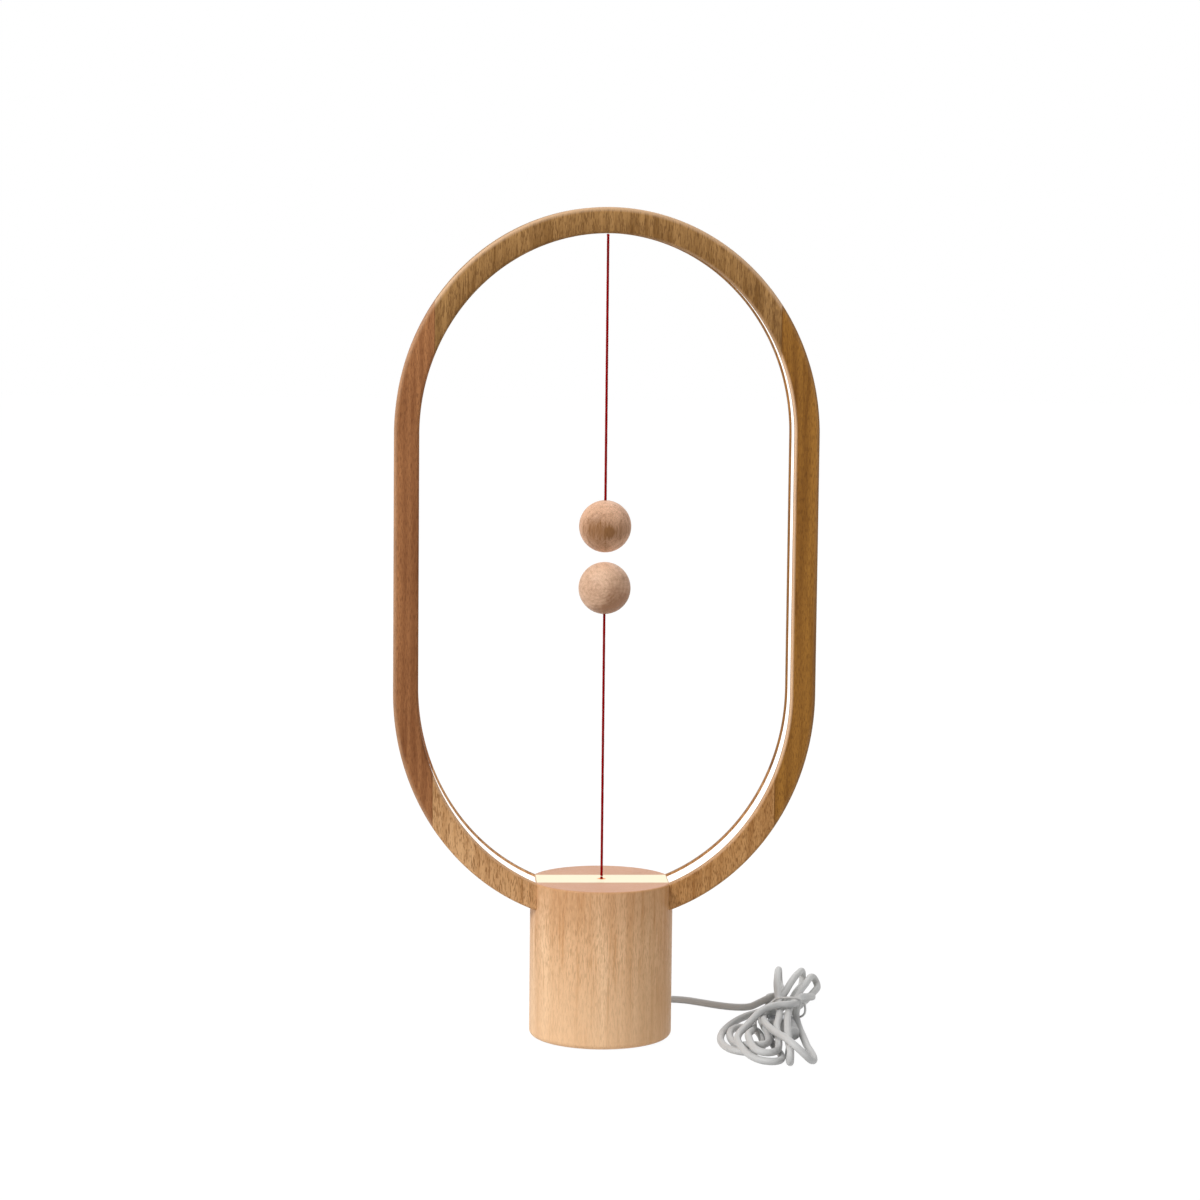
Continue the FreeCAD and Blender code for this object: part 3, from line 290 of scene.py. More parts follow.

# %% [markdown]
# ## The cord and its hank
#
# The cord is a real length of limp cable. It leaves the base at the back through a strain relief,
# drops to the table, comes round to the right and is folded into a small hank with a wire tie at its
# waist. The line is one NURBS spline: it rounds every corner by itself, as a cable does, so only the
# control points are written down. Each group of points is one loop of the hank. Where a
# strand passes over another, its points lie one diameter higher.

# %% The cord's route, in millimetres
CORD_RADIUS = 1.75
FREE_STRETCH = [
    (0.0, 34.5, 8.0), (0.0, 44.0, 8.0), (0.0, 52.0, 8.0), (5.0, 60.7, 5.0), (15.6, 66.4, 2.6),
    (29.5, 68.3, 1.75), (44.5, 67.6, 1.75), (54.8, 59.8, 1.75), (62.4, 53.7, 1.75), (70.2, 49.6, 1.75),
    (78.0, 49.6, 1.75),
]
HANK = [
    # over its own first turn and up into the first back loop
    (82.0, 50.8, 3.4), (88.0, 53.6, 5.6), (93.5, 60.0, 5.6), (96.4, 69.0, 5.4), (96.8, 78.0, 5.2),
    (96.7, 83.4, 5.2), (96.5, 85.9, 7.7), (96.3, 85.9, 11.3), (96.0, 83.4, 13.8), (94.8, 77.0, 13.9),
    (93.4, 66.0, 13.6), (91.4, 50.0, 13.4), (90.0, 32.0, 13.1),
    # the left upright strand and the inner left loop
    (88.9, 13.0, 10.2), (87.2, -4.0, 9.6), (83.8, -22.0, 9.5), (83.4, -33.0, 8.0), (83.0, -42.0, 6.4),
    (82.2, -49.0, 5.6), (80.8, -55.6, 5.4), (76.8, -60.2, 5.5), (72.0, -59.0, 5.8), (69.2, -52.5, 6.8),
    (68.4, -43.0, 8.7), (69.2, -31.0, 7.6), (72.0, -19.0, 5.8), (74.4, -7.0, 5.2), (75.2, 6.0, 5.1),
    (77.7, 17.5, 4.7), (83.4, 26.5, 4.0), (88.4, 34.0, 2.8),
    # a low loop behind the waist, then the outer left loop
    (92.6, 43.0, 1.9), (95.8, 53.0, 1.9), (97.5, 62.5, 1.9), (97.6, 71.1, 1.9), (95.1, 73.6, 1.9),
    (91.7, 73.6, 1.9), (89.2, 71.1, 1.9), (88.6, 62.5, 1.9), (88.0, 53.0, 1.75), (85.4, 45.0, 1.75),
    (80.5, 37.5, 1.75), (74.5, 31.0, 1.75), (68.5, 21.0, 1.75), (63.0, 8.0, 1.75), (58.7, -6.0, 1.75),
    (56.8, -20.6, 1.75), (58.2, -33.0, 1.75), (61.7, -40.0, 1.75), (66.5, -43.5, 1.75),
    (71.5, -43.0, 1.75), (75.2, -37.0, 1.75), (77.2, -26.0, 1.75), (77.6, -12.0, 1.75),
    (76.8, -0.5, 1.75), (73.6, 6.4, 1.75), (68.6, 7.6, 1.75),
    # the second left loop
    (64.6, 2.4, 1.75), (62.6, -6.5, 1.75), (62.2, -16.5, 1.75), (63.0, -26.0, 1.75), (65.0, -34.0, 2.6),
    (67.6, -40.4, 4.6), (71.4, -44.4, 5.5), (76.0, -43.6, 5.4), (78.8, -37.0, 5.3), (79.6, -27.5, 5.1),
    (79.8, -15.5, 4.9), (79.6, -3.0, 4.9), (79.4, 8.0, 5.0), (81.4, 17.5, 5.4), (86.3, 24.0, 6.0),
    (91.0, 31.0, 6.1),
    # the second back loop
    (95.8, 43.5, 4.8), (100.0, 57.0, 3.8), (103.6, 72.0, 4.2), (106.4, 81.0, 4.2), (108.1, 86.2, 4.3),
    (108.9, 88.8, 6.7), (108.9, 88.8, 10.1), (108.1, 86.2, 12.5), (106.0, 80.0, 12.6),
    (103.5, 74.0, 12.2), (99.5, 62.0, 11.0), (95.5, 47.0, 10.0), (92.0, 37.0, 9.4), (88.6, 28.0, 9.5),
    # the slanting strand, the right front loop and its way back
    (84.8, 18.0, 9.4), (80.8, 8.0, 8.9), (79.0, -3.0, 8.8), (78.9, -20.0, 9.6), (80.8, -45.0, 11.8),
    (83.2, -59.0, 13.2), (87.0, -67.2, 11.6), (91.6, -69.2, 7.6), (95.4, -67.4, 3.6), (98.0, -60.0, 1.8),
    (98.4, -47.0, 1.75), (97.6, -32.0, 1.75), (97.9, -15.0, 1.75), (97.9, 2.0, 1.75), (98.3, 17.0, 2.0),
    (98.9, 29.0, 3.0),
    # the short back loop at the right
    (100.4, 36.5, 4.6), (101.8, 43.5, 5.4), (102.5, 49.0, 5.5), (104.2, 53.0, 5.7), (107.4, 53.2, 6.4),
    (109.2, 49.6, 7.2), (109.0, 45.0, 8.0), (107.0, 41.0, 8.8), (104.6, 36.0, 10.2),
    (102.4, 30.6, 11.6), (100.4, 24.6, 12.6),
    # over the waist, the third left loop and the front edge
    (98.8, 16.5, 13.0), (96.4, 8.6, 13.2), (92.2, 4.8, 13.6), (87.0, 4.4, 13.5), (81.6, 0.3, 13.0),
    (77.0, -5.4, 12.2), (73.0, -11.4, 9.8), (69.0, -18.6, 7.8), (65.0, -28.0, 7.0), (63.3, -38.0, 6.2),
    (65.0, -46.5, 4.6), (67.8, -54.0, 2.9), (72.2, -59.8, 1.9), (78.0, -62.2, 1.75), (82.4, -59.2, 1.75),
    (83.6, -51.0, 1.75), (82.6, -40.0, 1.75), (81.3, -24.0, 1.75), (81.1, -8.0, 1.75), (81.2, 6.0, 1.75),
    (84.2, 17.0, 1.75), (90.0, 24.0, 1.9), (95.2, 31.5, 2.2),
    # the open back loop
    (99.8, 43.0, 2.0), (105.4, 55.0, 2.6), (111.4, 68.5, 4.0), (114.2, 75.6, 4.6), (115.8, 80.4, 4.8),
    (115.6, 83.4, 6.4), (114.2, 83.6, 9.2), (112.2, 80.2, 10.6), (110.4, 75.0, 10.3), (108.6, 69.0, 9.8),
    (104.8, 57.0, 9.4), (101.4, 44.0, 9.2), (98.7, 31.0, 9.2),
    # the middle upright strand, the front fold and into the plug
    (95.4, 20.0, 9.8), (92.9, 8.0, 9.6), (90.7, -8.0, 9.6), (88.8, -24.0, 9.5), (87.5, -39.0, 8.8),
    (86.4, -52.0, 8.6), (86.0, -60.5, 8.6), (85.9, -65.0, 8.6), (85.8, -67.2, 6.6), (85.8, -67.2, 3.8),
    (85.9, -65.0, 1.8), (86.2, -58.5, 1.75), (87.2, -46.0, 1.75), (89.0, -34.5, 2.2), (89.5, -25.5, 3.3),
    (89.5, -16.0, 3.4),
]


def add_spline(curve, points, closed):
    """One NURBS line with control points given in millimetres."""
    spline = curve.splines.new("NURBS")
    spline.points.add(len(points) - 1)
    for control, point in zip(spline.points, points):
        control.co = (*(Vector(point) * MM), 1)
    spline.order_u = 3
    spline.use_cyclic_u = closed
    spline.use_endpoint_u = not closed


def spline_object(name, points, radius, material, closed=False):
    """A round cord of a radius in millimetres along given control points."""
    curve = bpy.data.curves.new(name, "CURVE")
    curve.dimensions = "3D"
    curve.resolution_u = 8
    curve.bevel_depth = radius * MM
    curve.bevel_resolution = 6
    curve.use_fill_caps = True
    curve.materials.append(material)
    add_spline(curve, points, closed)
    return placed(name, curve)


cord = spline_object("grey_cord", FREE_STRETCH + HANK, CORD_RADIUS, GREY_CORD)
print("cord:", len(FREE_STRETCH + HANK), "control points,",
      round(sum(s.calc_length() for s in cord.data.splines), 3), "m")

# %% [markdown]
# ## Helpers that make meshes
#
# A turned piece is an outline spun about an axis, and a lofted piece is a row of sections joined one
# after the other. Both are closed rows of points with four-sided faces between them. `mesh_object`
# makes an object from such points and faces, with smooth shading that breaks at sharp edges. A curve
# or a Geometry Nodes result becomes a plain mesh before it is handed on. `declare` then says two
# things about a finished piece: the body that it moves with, and the frame's nodes that it stands for,
# which it hides.

# %% Mesh helpers


def mesh_object(name, points, faces, material):
    mesh = bpy.data.meshes.new(name)
    mesh.from_pydata([tuple(p) for p in points], [], faces)
    mesh.validate()
    return finished_mesh(name, mesh, material)


def finished_mesh(name, mesh, material, sharp=35):
    """Normals outward, doubles merged, smooth but for edges over the given angle."""
    work = bmesh.new()
    work.from_mesh(mesh)
    bmesh.ops.remove_doubles(work, verts=work.verts, dist=1e-7)
    bmesh.ops.recalc_face_normals(work, faces=work.faces)
    for face in work.faces:
        face.smooth = True
    for edge in work.edges:
        edge.smooth = edge.is_manifold and edge.calc_face_angle(pi) < radians(sharp)
    work.to_mesh(mesh)
    work.free()
    mesh.materials.clear()
    mesh.materials.append(material)
    return placed(name, mesh)


def faces_between(rows, steps):
    """Four-sided faces between closed rows of points."""
    return [(row * steps + step, row * steps + (step + 1) % steps,
             (row + 1) * steps + (step + 1) % steps, (row + 1) * steps + step)
            for row in range(rows - 1) for step in range(steps)]


def turned(name, outline, turn, material, steps=40):
    """Spins an outline of (radius, height) pairs, in millimetres; turn places the spun shape."""
    points = []
    for radius, height in outline:
        for step in range(steps):
            angle = tau * step / steps
            points.append(turn @ (Vector((radius * cos(angle), radius * sin(angle), height)) * MM))
    return mesh_object(name, points, faces_between(len(outline), steps), material)


def evaluated_mesh(piece):
    """The object's shape as a plain mesh, with its curves and modifiers worked out."""
    bpy.context.view_layer.update()
    evaluated = piece.evaluated_get(bpy.context.evaluated_depsgraph_get())
    return bpy.data.meshes.new_from_object(evaluated)


def as_mesh(piece):
    """Puts a plain mesh piece in the place of a curve object."""
    mesh = evaluated_mesh(piece)
    name, material = piece.name, piece.data.materials[0]
    bpy.data.objects.remove(piece)
    return finished_mesh(name, mesh, material)


def declare(piece, body, slot, *nodes):
    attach(piece, body)
    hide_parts(*nodes)


print("mesh helpers ready")

# %% [markdown]
# ## Strain relief, tie and plug
#
# The strain relief is a soft sleeve with four grooves, so that it bends a little at each of them. The
# tie is a plastic-coated wire: it leans forward over the hank's waist, and its two ends are twisted
# together behind. The plug has a ribbed grip and a tapered neck, and its sheet-metal shell and tongue
# come from the frame as they are.

# %% Strain relief
RELIEF_START, RELIEF_END, RELIEF_HEIGHT = 34.3, 44.0, 8.0
RELIEF_THICK, RELIEF_THIN, RELIEF_COLLAR = 2.75, 2.1, 4.0
RELIEF_GROOVES, GROOVE_DEPTH = 4, 0.45


def relief_outline():
    """From the collar out to the tip: grooves cut into a cone."""
    outline = [(0.0, 0.0), (RELIEF_COLLAR - 0.25, 0.0), (RELIEF_COLLAR, 0.25), (RELIEF_COLLAR, 0.75),
               (RELIEF_COLLAR - 0.35, 1.1), (RELIEF_THICK + 0.2, 1.2)]
    length = RELIEF_END - RELIEF_START
    first, last = 1.4, 1.0
    pitch = (length - first - last) / RELIEF_GROOVES
    for groove in range(RELIEF_GROOVES):
        for share, depth in ((0.1, 0.0), (0.55, 0.0), (0.62, GROOVE_DEPTH), (0.93, GROOVE_DEPTH)):
            height = first + (groove + share) * pitch
            radius = RELIEF_THICK + (RELIEF_THIN - RELIEF_THICK) * height / length
            outline.append((radius - depth, height))
    outline += [(RELIEF_THIN, length - 0.3), (RELIEF_THIN - 0.2, length), (0.0, length)]
    return outline


def along_y(place_mm):
    """Turns +Z to +Y and moves it there: for pieces that point to the back."""
    return Matrix.Translation(Vector(place_mm) * MM) @ Matrix.Rotation(-pi / 2, 4, "X")


relief = turned("strain_relief_sleeve", relief_outline(), along_y((0, RELIEF_START, RELIEF_HEIGHT)),
                PLUG_GREY)
print("strain relief:", len(relief.data.polygons), "faces")

# %% Wire tie
TIE_LOOP = [
    (86.6, 29.5, 1.2), (86.0, 23.0, 6.5), (86.2, 16.5, 12.6), (88.6, 13.0, 15.0), (92.6, 11.4, 15.5),
    (97.4, 10.4, 15.7), (100.8, 10.6, 13.6), (102.0, 14.0, 9.0), (102.4, 22.0, 4.4), (100.6, 29.0, 1.2),
    (94.0, 31.0, 0.6),
]
TIE_TAIL = [(86.4, 29.0, 1.4), (85.0, 29.6, 1.8), (82.8, 29.2, 1.4), (80.2, 29.8, 0.9)]
TIE_WIRE = 0.55
TAIL_TWIST = 1.9


def make_tie():
    """The loop round the waist and its twisted pair of ends, joined into one piece."""
    loop = spline_object("wire_tie", TIE_LOOP, TIE_WIRE, TIE_WHITE, closed=True)
    for side in (0, pi):
        ends = []
        for number, point in enumerate(TIE_TAIL):
            angle = side + number * TAIL_TWIST
            ends.append(Vector(point) + Vector((0, cos(angle), sin(angle))) * TIE_WIRE * 0.8)
        add_spline(loop.data, ends, closed=False)
    return as_mesh(loop)


tie = make_tie()
print("wire tie:", len(tie.data.polygons), "faces")

# %% Plug grip
PLUG_X, PLUG_Y = 89.5, -16.0
GRIP_WIDTH, GRIP_LENGTH, GRIP_HEIGHT = 13.0, 20.0, 6.8
NECK_LENGTH, NECK_RADIUS = 7.0, 2.3
RIBS, RIB_PITCH, FIRST_RIB, RIB_DEPTH = 5, 2.4, 4.0, 0.35
ROUND, CORNERED = 2, 3.6
GRIP_STEPS = 48


def grip_sections():
    """Each section's place along the plug, half width and half height, from neck to shell."""
    sections = [(-NECK_LENGTH, NECK_RADIUS * 0.3, NECK_RADIUS * 0.3),
                (-NECK_LENGTH, NECK_RADIUS - 0.2, NECK_RADIUS - 0.2),
                (-NECK_LENGTH + 0.3, NECK_RADIUS, NECK_RADIUS),
                (-2.0, NECK_RADIUS + 0.3, NECK_RADIUS + 0.2)]
    wide, high = GRIP_WIDTH / 2, GRIP_HEIGHT / 2
    sections += [(0.0, wide * 0.62, high * 0.8), (1.6, wide * 0.9, high * 0.94), (3.0, wide, high)]
    for rib in range(RIBS):
        start = FIRST_RIB + rib * RIB_PITCH
        for share, depth in ((0.0, 0.0), (0.3, RIB_DEPTH), (0.9, RIB_DEPTH), (1.2, 0.0)):
            sections.append((start + share, wide - depth, high - depth * 0.6))
    sections += [(GRIP_LENGTH - 0.8, wide, high), (GRIP_LENGTH, wide - 0.8, high - 0.7),
                 (GRIP_LENGTH, wide * 0.3, high * 0.3)]
    return sections


def make_grip():
    """Lofts the sections: the neck's are round, the grip's are rectangles with rounded corners."""
    points = []
    sections = grip_sections()
    for along, wide, high in sections:
        power = ROUND if along < -1 else CORNERED
        for step in range(GRIP_STEPS):
            angle = tau * step / GRIP_STEPS
            across, up = cos(angle), sin(angle)
            reach = (abs(across) ** power + abs(up) ** power) ** (-1 / power)
            points.append(Vector((PLUG_X + wide * across * reach, PLUG_Y + along,
                                  GRIP_HEIGHT / 2 + high * up * reach)) * MM)
    faces = faces_between(len(sections), GRIP_STEPS)
    faces.append(tuple(range(GRIP_STEPS)))
    faces.append(tuple(range((len(sections) - 1) * GRIP_STEPS, len(sections) * GRIP_STEPS)))
    return mesh_object("plug_grip", points, faces, PLUG_GREY)


grip = make_grip()
print("plug grip:", len(grip.data.polygons), "faces")

declare(cord, "lamp", "grey_cord", "cord_tube", "cord_hank")
declare(relief, "lamp", "plug_grey", "strain_relief")
declare(tie, "lamp", "tie_white", "cord_tie")
declare(grip, "lamp", "plug_grey", "usb_plug_body")

# %% [markdown]
# ## Beech
#
# Beech is a pale pinkish wood. Its growth rings show as soft streaks along the grain, and its rays as
# short dark flecks, a third of a millimetre wide and two or three long, all parallel to the grain. The
# material is solid, as wood is: the pattern fills space, and the piece's surface cuts through it. So
# end grain shows rings without any extra work. The distance from the tree's heart gives the rings, a
# stretched noise gives the flecks, and both wander a little.

# %% Colours that follow the ring and the base
RING_HALF = 0.101
OUTER_TOP, OUTER_LOW = 0.1076, 0.1108
UPPER_CENTRE, LOWER_CENTRE = 0.2924, 0.1688662
INNER_SHARE = 0.881
SEAM = 0.082
FRONT, EDGE = 0.0128, 0.002
BASE_TOP, BASE_RADIUS = 0.077, 0.0345
# The first colour below is a painted highlight for the ring's edges, the second painted shade for its
# back inner edge.
EDGE_HIGHLIGHT, BACK_SHADE = srgb(240, 200, 162), srgb(134, 100, 78)
# The base's painted shade near its top and at its right, and the pink of its end grain.
BASE_TOP_SHADE, BASE_RIGHT_SHADE, BASE_PINK = srgb(196, 144, 98), srgb(192, 138, 78), srgb(216, 162, 132)


def wall_depth(px, pz):
    """0 on the ring's inner face and 1 on its outer face, all the way round the oval."""
    rise = (pz - UPPER_CENTRE).held() / OUTER_TOP + (LOWER_CENTRE - pz).held() / OUTER_LOW
    return (((px / RING_HALF) ** 2 + rise * rise) ** 0.5 - INNER_SHARE) / (1 - INNER_SHARE)


def ring_edges(tree, colour, depth, dark, outer_highlight, inner_highlight):
    """Dark glue lines, a painted highlight on the rounded edges in front and painted shade on the
    inner edge behind.
    """
    px, py, pz = tree.parts(tree.place())
    line = 1 - ((px.size() - SEAM).size() - 0.00012).ramp(0.0, 0.00022)
    colour = tree.mix(line * 0.6, colour, dark)
    right_or_low = (px.ramp(0.0, 0.04) + (0.14 - pz).ramp(0.0, 0.02)).held()
    # painted highlight: paler on the rounded outer edges, and on the inner edges at the right and low
    # down
    pale = depth.ramp(0.8, 1.0) * outer_highlight + (1 - depth).ramp(0.86, 0.97) * right_or_low * inner_highlight
    colour = tree.mix(pale * (0 - py).ramp(FRONT - EDGE, FRONT), colour, EDGE_HIGHLIGHT)
    # painted shade: the inner edge at the back is darkened
    return tree.mix((1 - depth).ramp(0.8, 0.95) * py.ramp(0.009, 0.0118) * 0.75, colour, BACK_SHADE)


def base_tones(tree, colour, light, dark):
    """Painted light at the foot, painted shade near the top and to the right, pink end grain
    and a dark rim.
    """
    px, py, pz = tree.parts(tree.place())
    # painted light at the foot, then painted shade near the top and to the right
    colour = tree.mix((1 - pz.ramp(0.0, 0.07)) * 0.58, colour, light)
    colour = tree.mix(pz.ramp(0.045, 0.076) * 0.45, colour, BASE_TOP_SHADE)
    colour = tree.mix(px.ramp(0.0, 0.03) * 0.35, colour, BASE_RIGHT_SHADE)
    colour = tree.mix(pz.ramp(BASE_TOP - 0.0004, BASE_TOP - 0.0001) * 0.8, colour, BASE_PINK)
    rim = ((px * px + py * py) ** 0.5).ramp(BASE_RADIUS - 0.0012, BASE_RADIUS - 0.0006)
    return tree.mix(rim * pz.ramp(BASE_TOP - 0.0013, BASE_TOP - 0.0007) * 0.35, colour, dark)


print("ring and base: glue lines at", SEAM, "m to either side")

# %% Beech
SWAY_WIDTH, SWAY = 0.03, 0.006
BAND_WIDTH, STREAK_WIDTH = 0.009, 0.0016
GRAIN_DEPTH = 0.00004


def beech(name, light, dark, heart=(0.35, 0.5, 0), grain="Z", tilt=0.0, seed=0.0, ring_gap=0.0032,
          ring_depth=0.3, streak=0.3, lines=0.22, fleck=0.5, fleck_size=0.0003, fleck_long=0.1,
          gloss=0.5, shine=0.2, ring=False, base=False, outer_highlight=0.0, inner_highlight=0.0,
          inner_shade=0.0, eye_and_shade_spots=()):
    """Solid beech between a light and a dark tone.

    heart is a point on the tree's axis, and grain the axis that it runs along. ring_gap is one year's
    growth. fleck_size is a fleck's width, and fleck_long its width as a share of its length. Each spot
    is a dark patch, the heart's eye or painted shade: its x and z, its inner and outer radius, and how
    dark it is.
    """
    material, tree, shader, place = new_material(name)
    turn = {"Z": (tilt, 0, 0), "Y": (pi / 2 + tilt, 0, 0)}[grain]
    px, _, pz = tree.parts(place)
    board = tree.add("ShaderNodeMapping", {"vector_type": "TEXTURE"},
                     {"Vector": place, "Location": heart, "Rotation": turn})
    sway = tree.noise(board, SWAY_WIDTH, detail=2, stretch=(1, 1, 0.18))
    shifted = tree.vector("ADD", board, (seed, seed * 0.7, 0))
    x, y, _ = tree.parts(board)
    radius = (x * x + y * y) ** 0.5 + sway * SWAY
    rings = (radius * (tau / ring_gap)).sine() * 0.5 + 0.5
    bands = tree.noise(shifted, BAND_WIDTH, detail=4, rough=0.55, stretch=(1, 1, 0.09))
    streaks = tree.noise(shifted, STREAK_WIDTH, detail=3, rough=0.6, stretch=(1, 1, 0.05))
    flecks = tree.noise(shifted, fleck_size, detail=1, stretch=(1, 1, fleck_long)).ramp(0.5, 0.62)
    pores = tree.noise(shifted, fleck_size / 0.6, detail=2, stretch=(1, 1, 0.3)).ramp(0.45, 0.8)
    tone = rings * ring_depth + bands.ramp(0.3, 0.72) * streak + (streaks - 0.35) * 0.5
    tone = tone + streaks.ramp(0.54, 0.66) * lines
    # the heart's eye, and painted shade on the balls
    for spot_x, spot_z, inner, outer, deep in eye_and_shade_spots:
        across, up = px - spot_x, pz - spot_z
        tone = tone + (1 - ((across * across + up * up) ** 0.5).ramp(inner, outer)) * deep
    if ring:
        depth = wall_depth(px, pz)
        # painted shade: darker towards the ring's inner face
        tone = tone + (1 - depth) * inner_shade
    fleck_colour = [dark[0] * 0.6, dark[1] * 0.54, dark[2] * 0.48, 1.0]
    colour = tree.mix(tone.held(), light, dark)
    colour = tree.mix(flecks * fleck, colour, fleck_colour)
    colour = tree.mix(pores * 0.16, colour, fleck_colour)
    if ring:
        colour = ring_edges(tree, colour, depth, fleck_colour, outer_highlight, inner_highlight)
    if base:
        colour = base_tones(tree, colour, light, dark)
    height = flecks * -0.7 + pores * 0.3 + streaks * 0.35
    finish_shader(tree, shader, base_color=colour, roughness=gloss + flecks * 0.14 + pores * 0.08,
                  specular_ior_level=shine, normal=tree.bump(height, GRAIN_DEPTH))
    return material


print("beech ready: bands", BAND_WIDTH, "m and streaks", STREAK_WIDTH, "m wide")

# %% [markdown]
# ## One beech for each board
#
# No two boards of a glued ring look alike. The crown and the foot boards are lighter, with clear
# flecks, and the two uprights are browner, with long streaks. The base is the palest piece. Each ball
# was turned from its own stick: the upper one shows a dark eye where the heart comes out, and the
# lower one has its rings facing front. Painted shade darkens the upper ball round its middle and
# sides, and the lower ball at its lower right.

# %% The boards, the base and the balls
BALLS = ("upper_ball", "lower_ball")
UPPER_BALL, LOWER_BALL = [sum(corner.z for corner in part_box(ball)) / 2 for ball in BALLS]
ENDS = {"ring": True, "ring_depth": 0.2, "fleck_size": 0.00036, "fleck_long": 0.12}
FOOT = {**ENDS, "heart": (0.3, 0.42, 0), "inner_highlight": 0.5, "inner_shade": 0.3, "fleck": 0.75}
SIDE = {"ring": True, "streak": 0.45}
RING_TOP = beech("crown_beech", srgb(190, 144, 88), srgb(126, 86, 38), seed=0.2, fleck=0.62,
                 outer_highlight=0.75, inner_highlight=0.3, inner_shade=0.42, **ENDS)
FOOT_LEFT = beech("left_foot_beech", srgb(236, 188, 136), srgb(184, 132, 80), seed=0.6, **FOOT)
FOOT_RIGHT = beech("right_foot_beech", srgb(214, 162, 104), srgb(160, 108, 54), seed=0.7, **FOOT)
SIDE_LEFT = beech("left_beech", srgb(186, 126, 78), srgb(132, 80, 42), seed=0.9, heart=(-0.4, 0.3, 0),
                  outer_highlight=0.3, inner_shade=0.12, **SIDE)
SIDE_RIGHT = beech("right_beech", srgb(174, 120, 48), srgb(120, 74, 16), seed=1.4, outer_highlight=0.12,
                   inner_highlight=0.8, inner_shade=0.1, **SIDE)
BASE_BEECH = beech("base_beech", srgb(255, 215, 171), srgb(210, 154, 102), seed=2.1, base=True,
                   heart=(0.05, 0.09, 0), ring_gap=0.0048, ring_depth=0.28, streak=0.45, lines=0.4,
                   fleck=0.56, fleck_size=0.00031, fleck_long=0.09, gloss=0.42, shine=0.25)
# The upper ball's first spot is the heart's eye. The other three are painted shade over its middle and
# its two sides, which leaves its top looking lit.
UPPER_BEECH = beech("upper_ball_beech", srgb(255, 206, 172), srgb(140, 94, 50), seed=3.3, tilt=0.12,
                    heart=(0.004, 0.06, 0.262), ring_gap=0.0021, ring_depth=0.08, streak=0.25,
                    lines=0.15, fleck=0.4, shine=0.35,
                    eye_and_shade_spots=[(0.0014, UPPER_BALL - 0.0022, 0.0, 0.0042, 0.42),
                           (-0.001, UPPER_BALL - 0.003, 0.002, 0.0138, 0.58),
                           (-0.0112, UPPER_BALL + 0.0004, 0.0015, 0.0112, 0.22),
                           (0.0095, UPPER_BALL - 0.002, 0.0, 0.0085, 0.32)])
# The lower ball's one spot is painted shade at its lower right.
LOWER_BEECH = beech("lower_ball_beech", srgb(252, 212, 180), srgb(164, 120, 88), seed=4.7, tilt=0.05,
                    grain="Y", heart=(-0.0036, 0, 0.2206), ring_gap=0.0018, ring_depth=0.09,
                    streak=0.4, lines=0.06, fleck=0.3, fleck_size=0.00024, fleck_long=0.16,
                    gloss=0.46, shine=0.3, eye_and_shade_spots=[(0.012, LOWER_BALL - 0.012, 0.002, 0.027, 0.9)])
print("beech finishes ready")

# %% [markdown]
# ## The ring, bent from a straight moulding
#
# The ring is the lamp's main piece, and its shape follows a rule: a channelled moulding with rounded
# edges runs round an oval of two half ellipses and two straight sides. Geometry Nodes say exactly
# that. The tree draws the moulding's outline, sweeps it along a straight line one unit long, and then
# bends the line round the oval with a formula. The named inputs hold the sizes, so a taller or a
# wider ring is a matter of numbers.

# %% A tree for the ring
RING_WALL, RING_DEEP = 0.012, 0.027
INNER_TOP, INNER_LOW = 0.09525, 0.09845
CHANNEL_WIDE, CHANNEL_DEEP = 0.020, 0.006
RING_EDGE = 0.0015
STRAIGHT = 0.6
RING_STEPS = 385


def geometry_tree(name, sizes):
    """A Geometry Nodes tree with a named number input for each size."""
    group = bpy.data.node_groups.new(name, "GeometryNodeTree")
    group.interface.new_socket("Geometry", in_out="OUTPUT", socket_type="NodeSocketGeometry")
    for label, value in sizes.items():
        socket = group.interface.new_socket(label, in_out="INPUT", socket_type="NodeSocketFloat")
        socket.default_value = value
    group.interface.new_socket("Material", in_out="INPUT", socket_type="NodeSocketMaterial")
    tree = Tree(group)
    source = group.nodes.new("NodeGroupInput")
    wires = {socket.name: Wire(tree, socket) for socket in source.outputs if socket.name}
    return tree, wires


def end_tree(tree, geometry, material):
    """Every tree ends in real geometry with its material."""
    solid = tree.add("GeometryNodeRealizeInstances", None, {0: geometry})
    painted = tree.add("GeometryNodeSetMaterial", None, {"Geometry": solid, "Material": material})
    tree.close("NodeGroupOutput", painted)


def run_tree(name, tree, material, sharp=35, **sizes):
    """Runs a tree on an empty object and returns the result as a plain mesh piece."""
    holder = placed(name, bpy.data.meshes.new(name))
    modifier = holder.modifiers.new("shape", "NODES")
    modifier.node_group = tree.tree
    for item in tree.tree.interface.items_tree:
        if item.in_out == "INPUT":
            if item.name == "Material":
                modifier[item.identifier] = material
            elif item.name in sizes:
                modifier[item.identifier] = sizes[item.name]
    mesh = evaluated_mesh(holder)
    holder.modifiers.clear()
    bpy.data.objects.remove(holder)
    return finished_mesh(name, mesh, material, sharp)


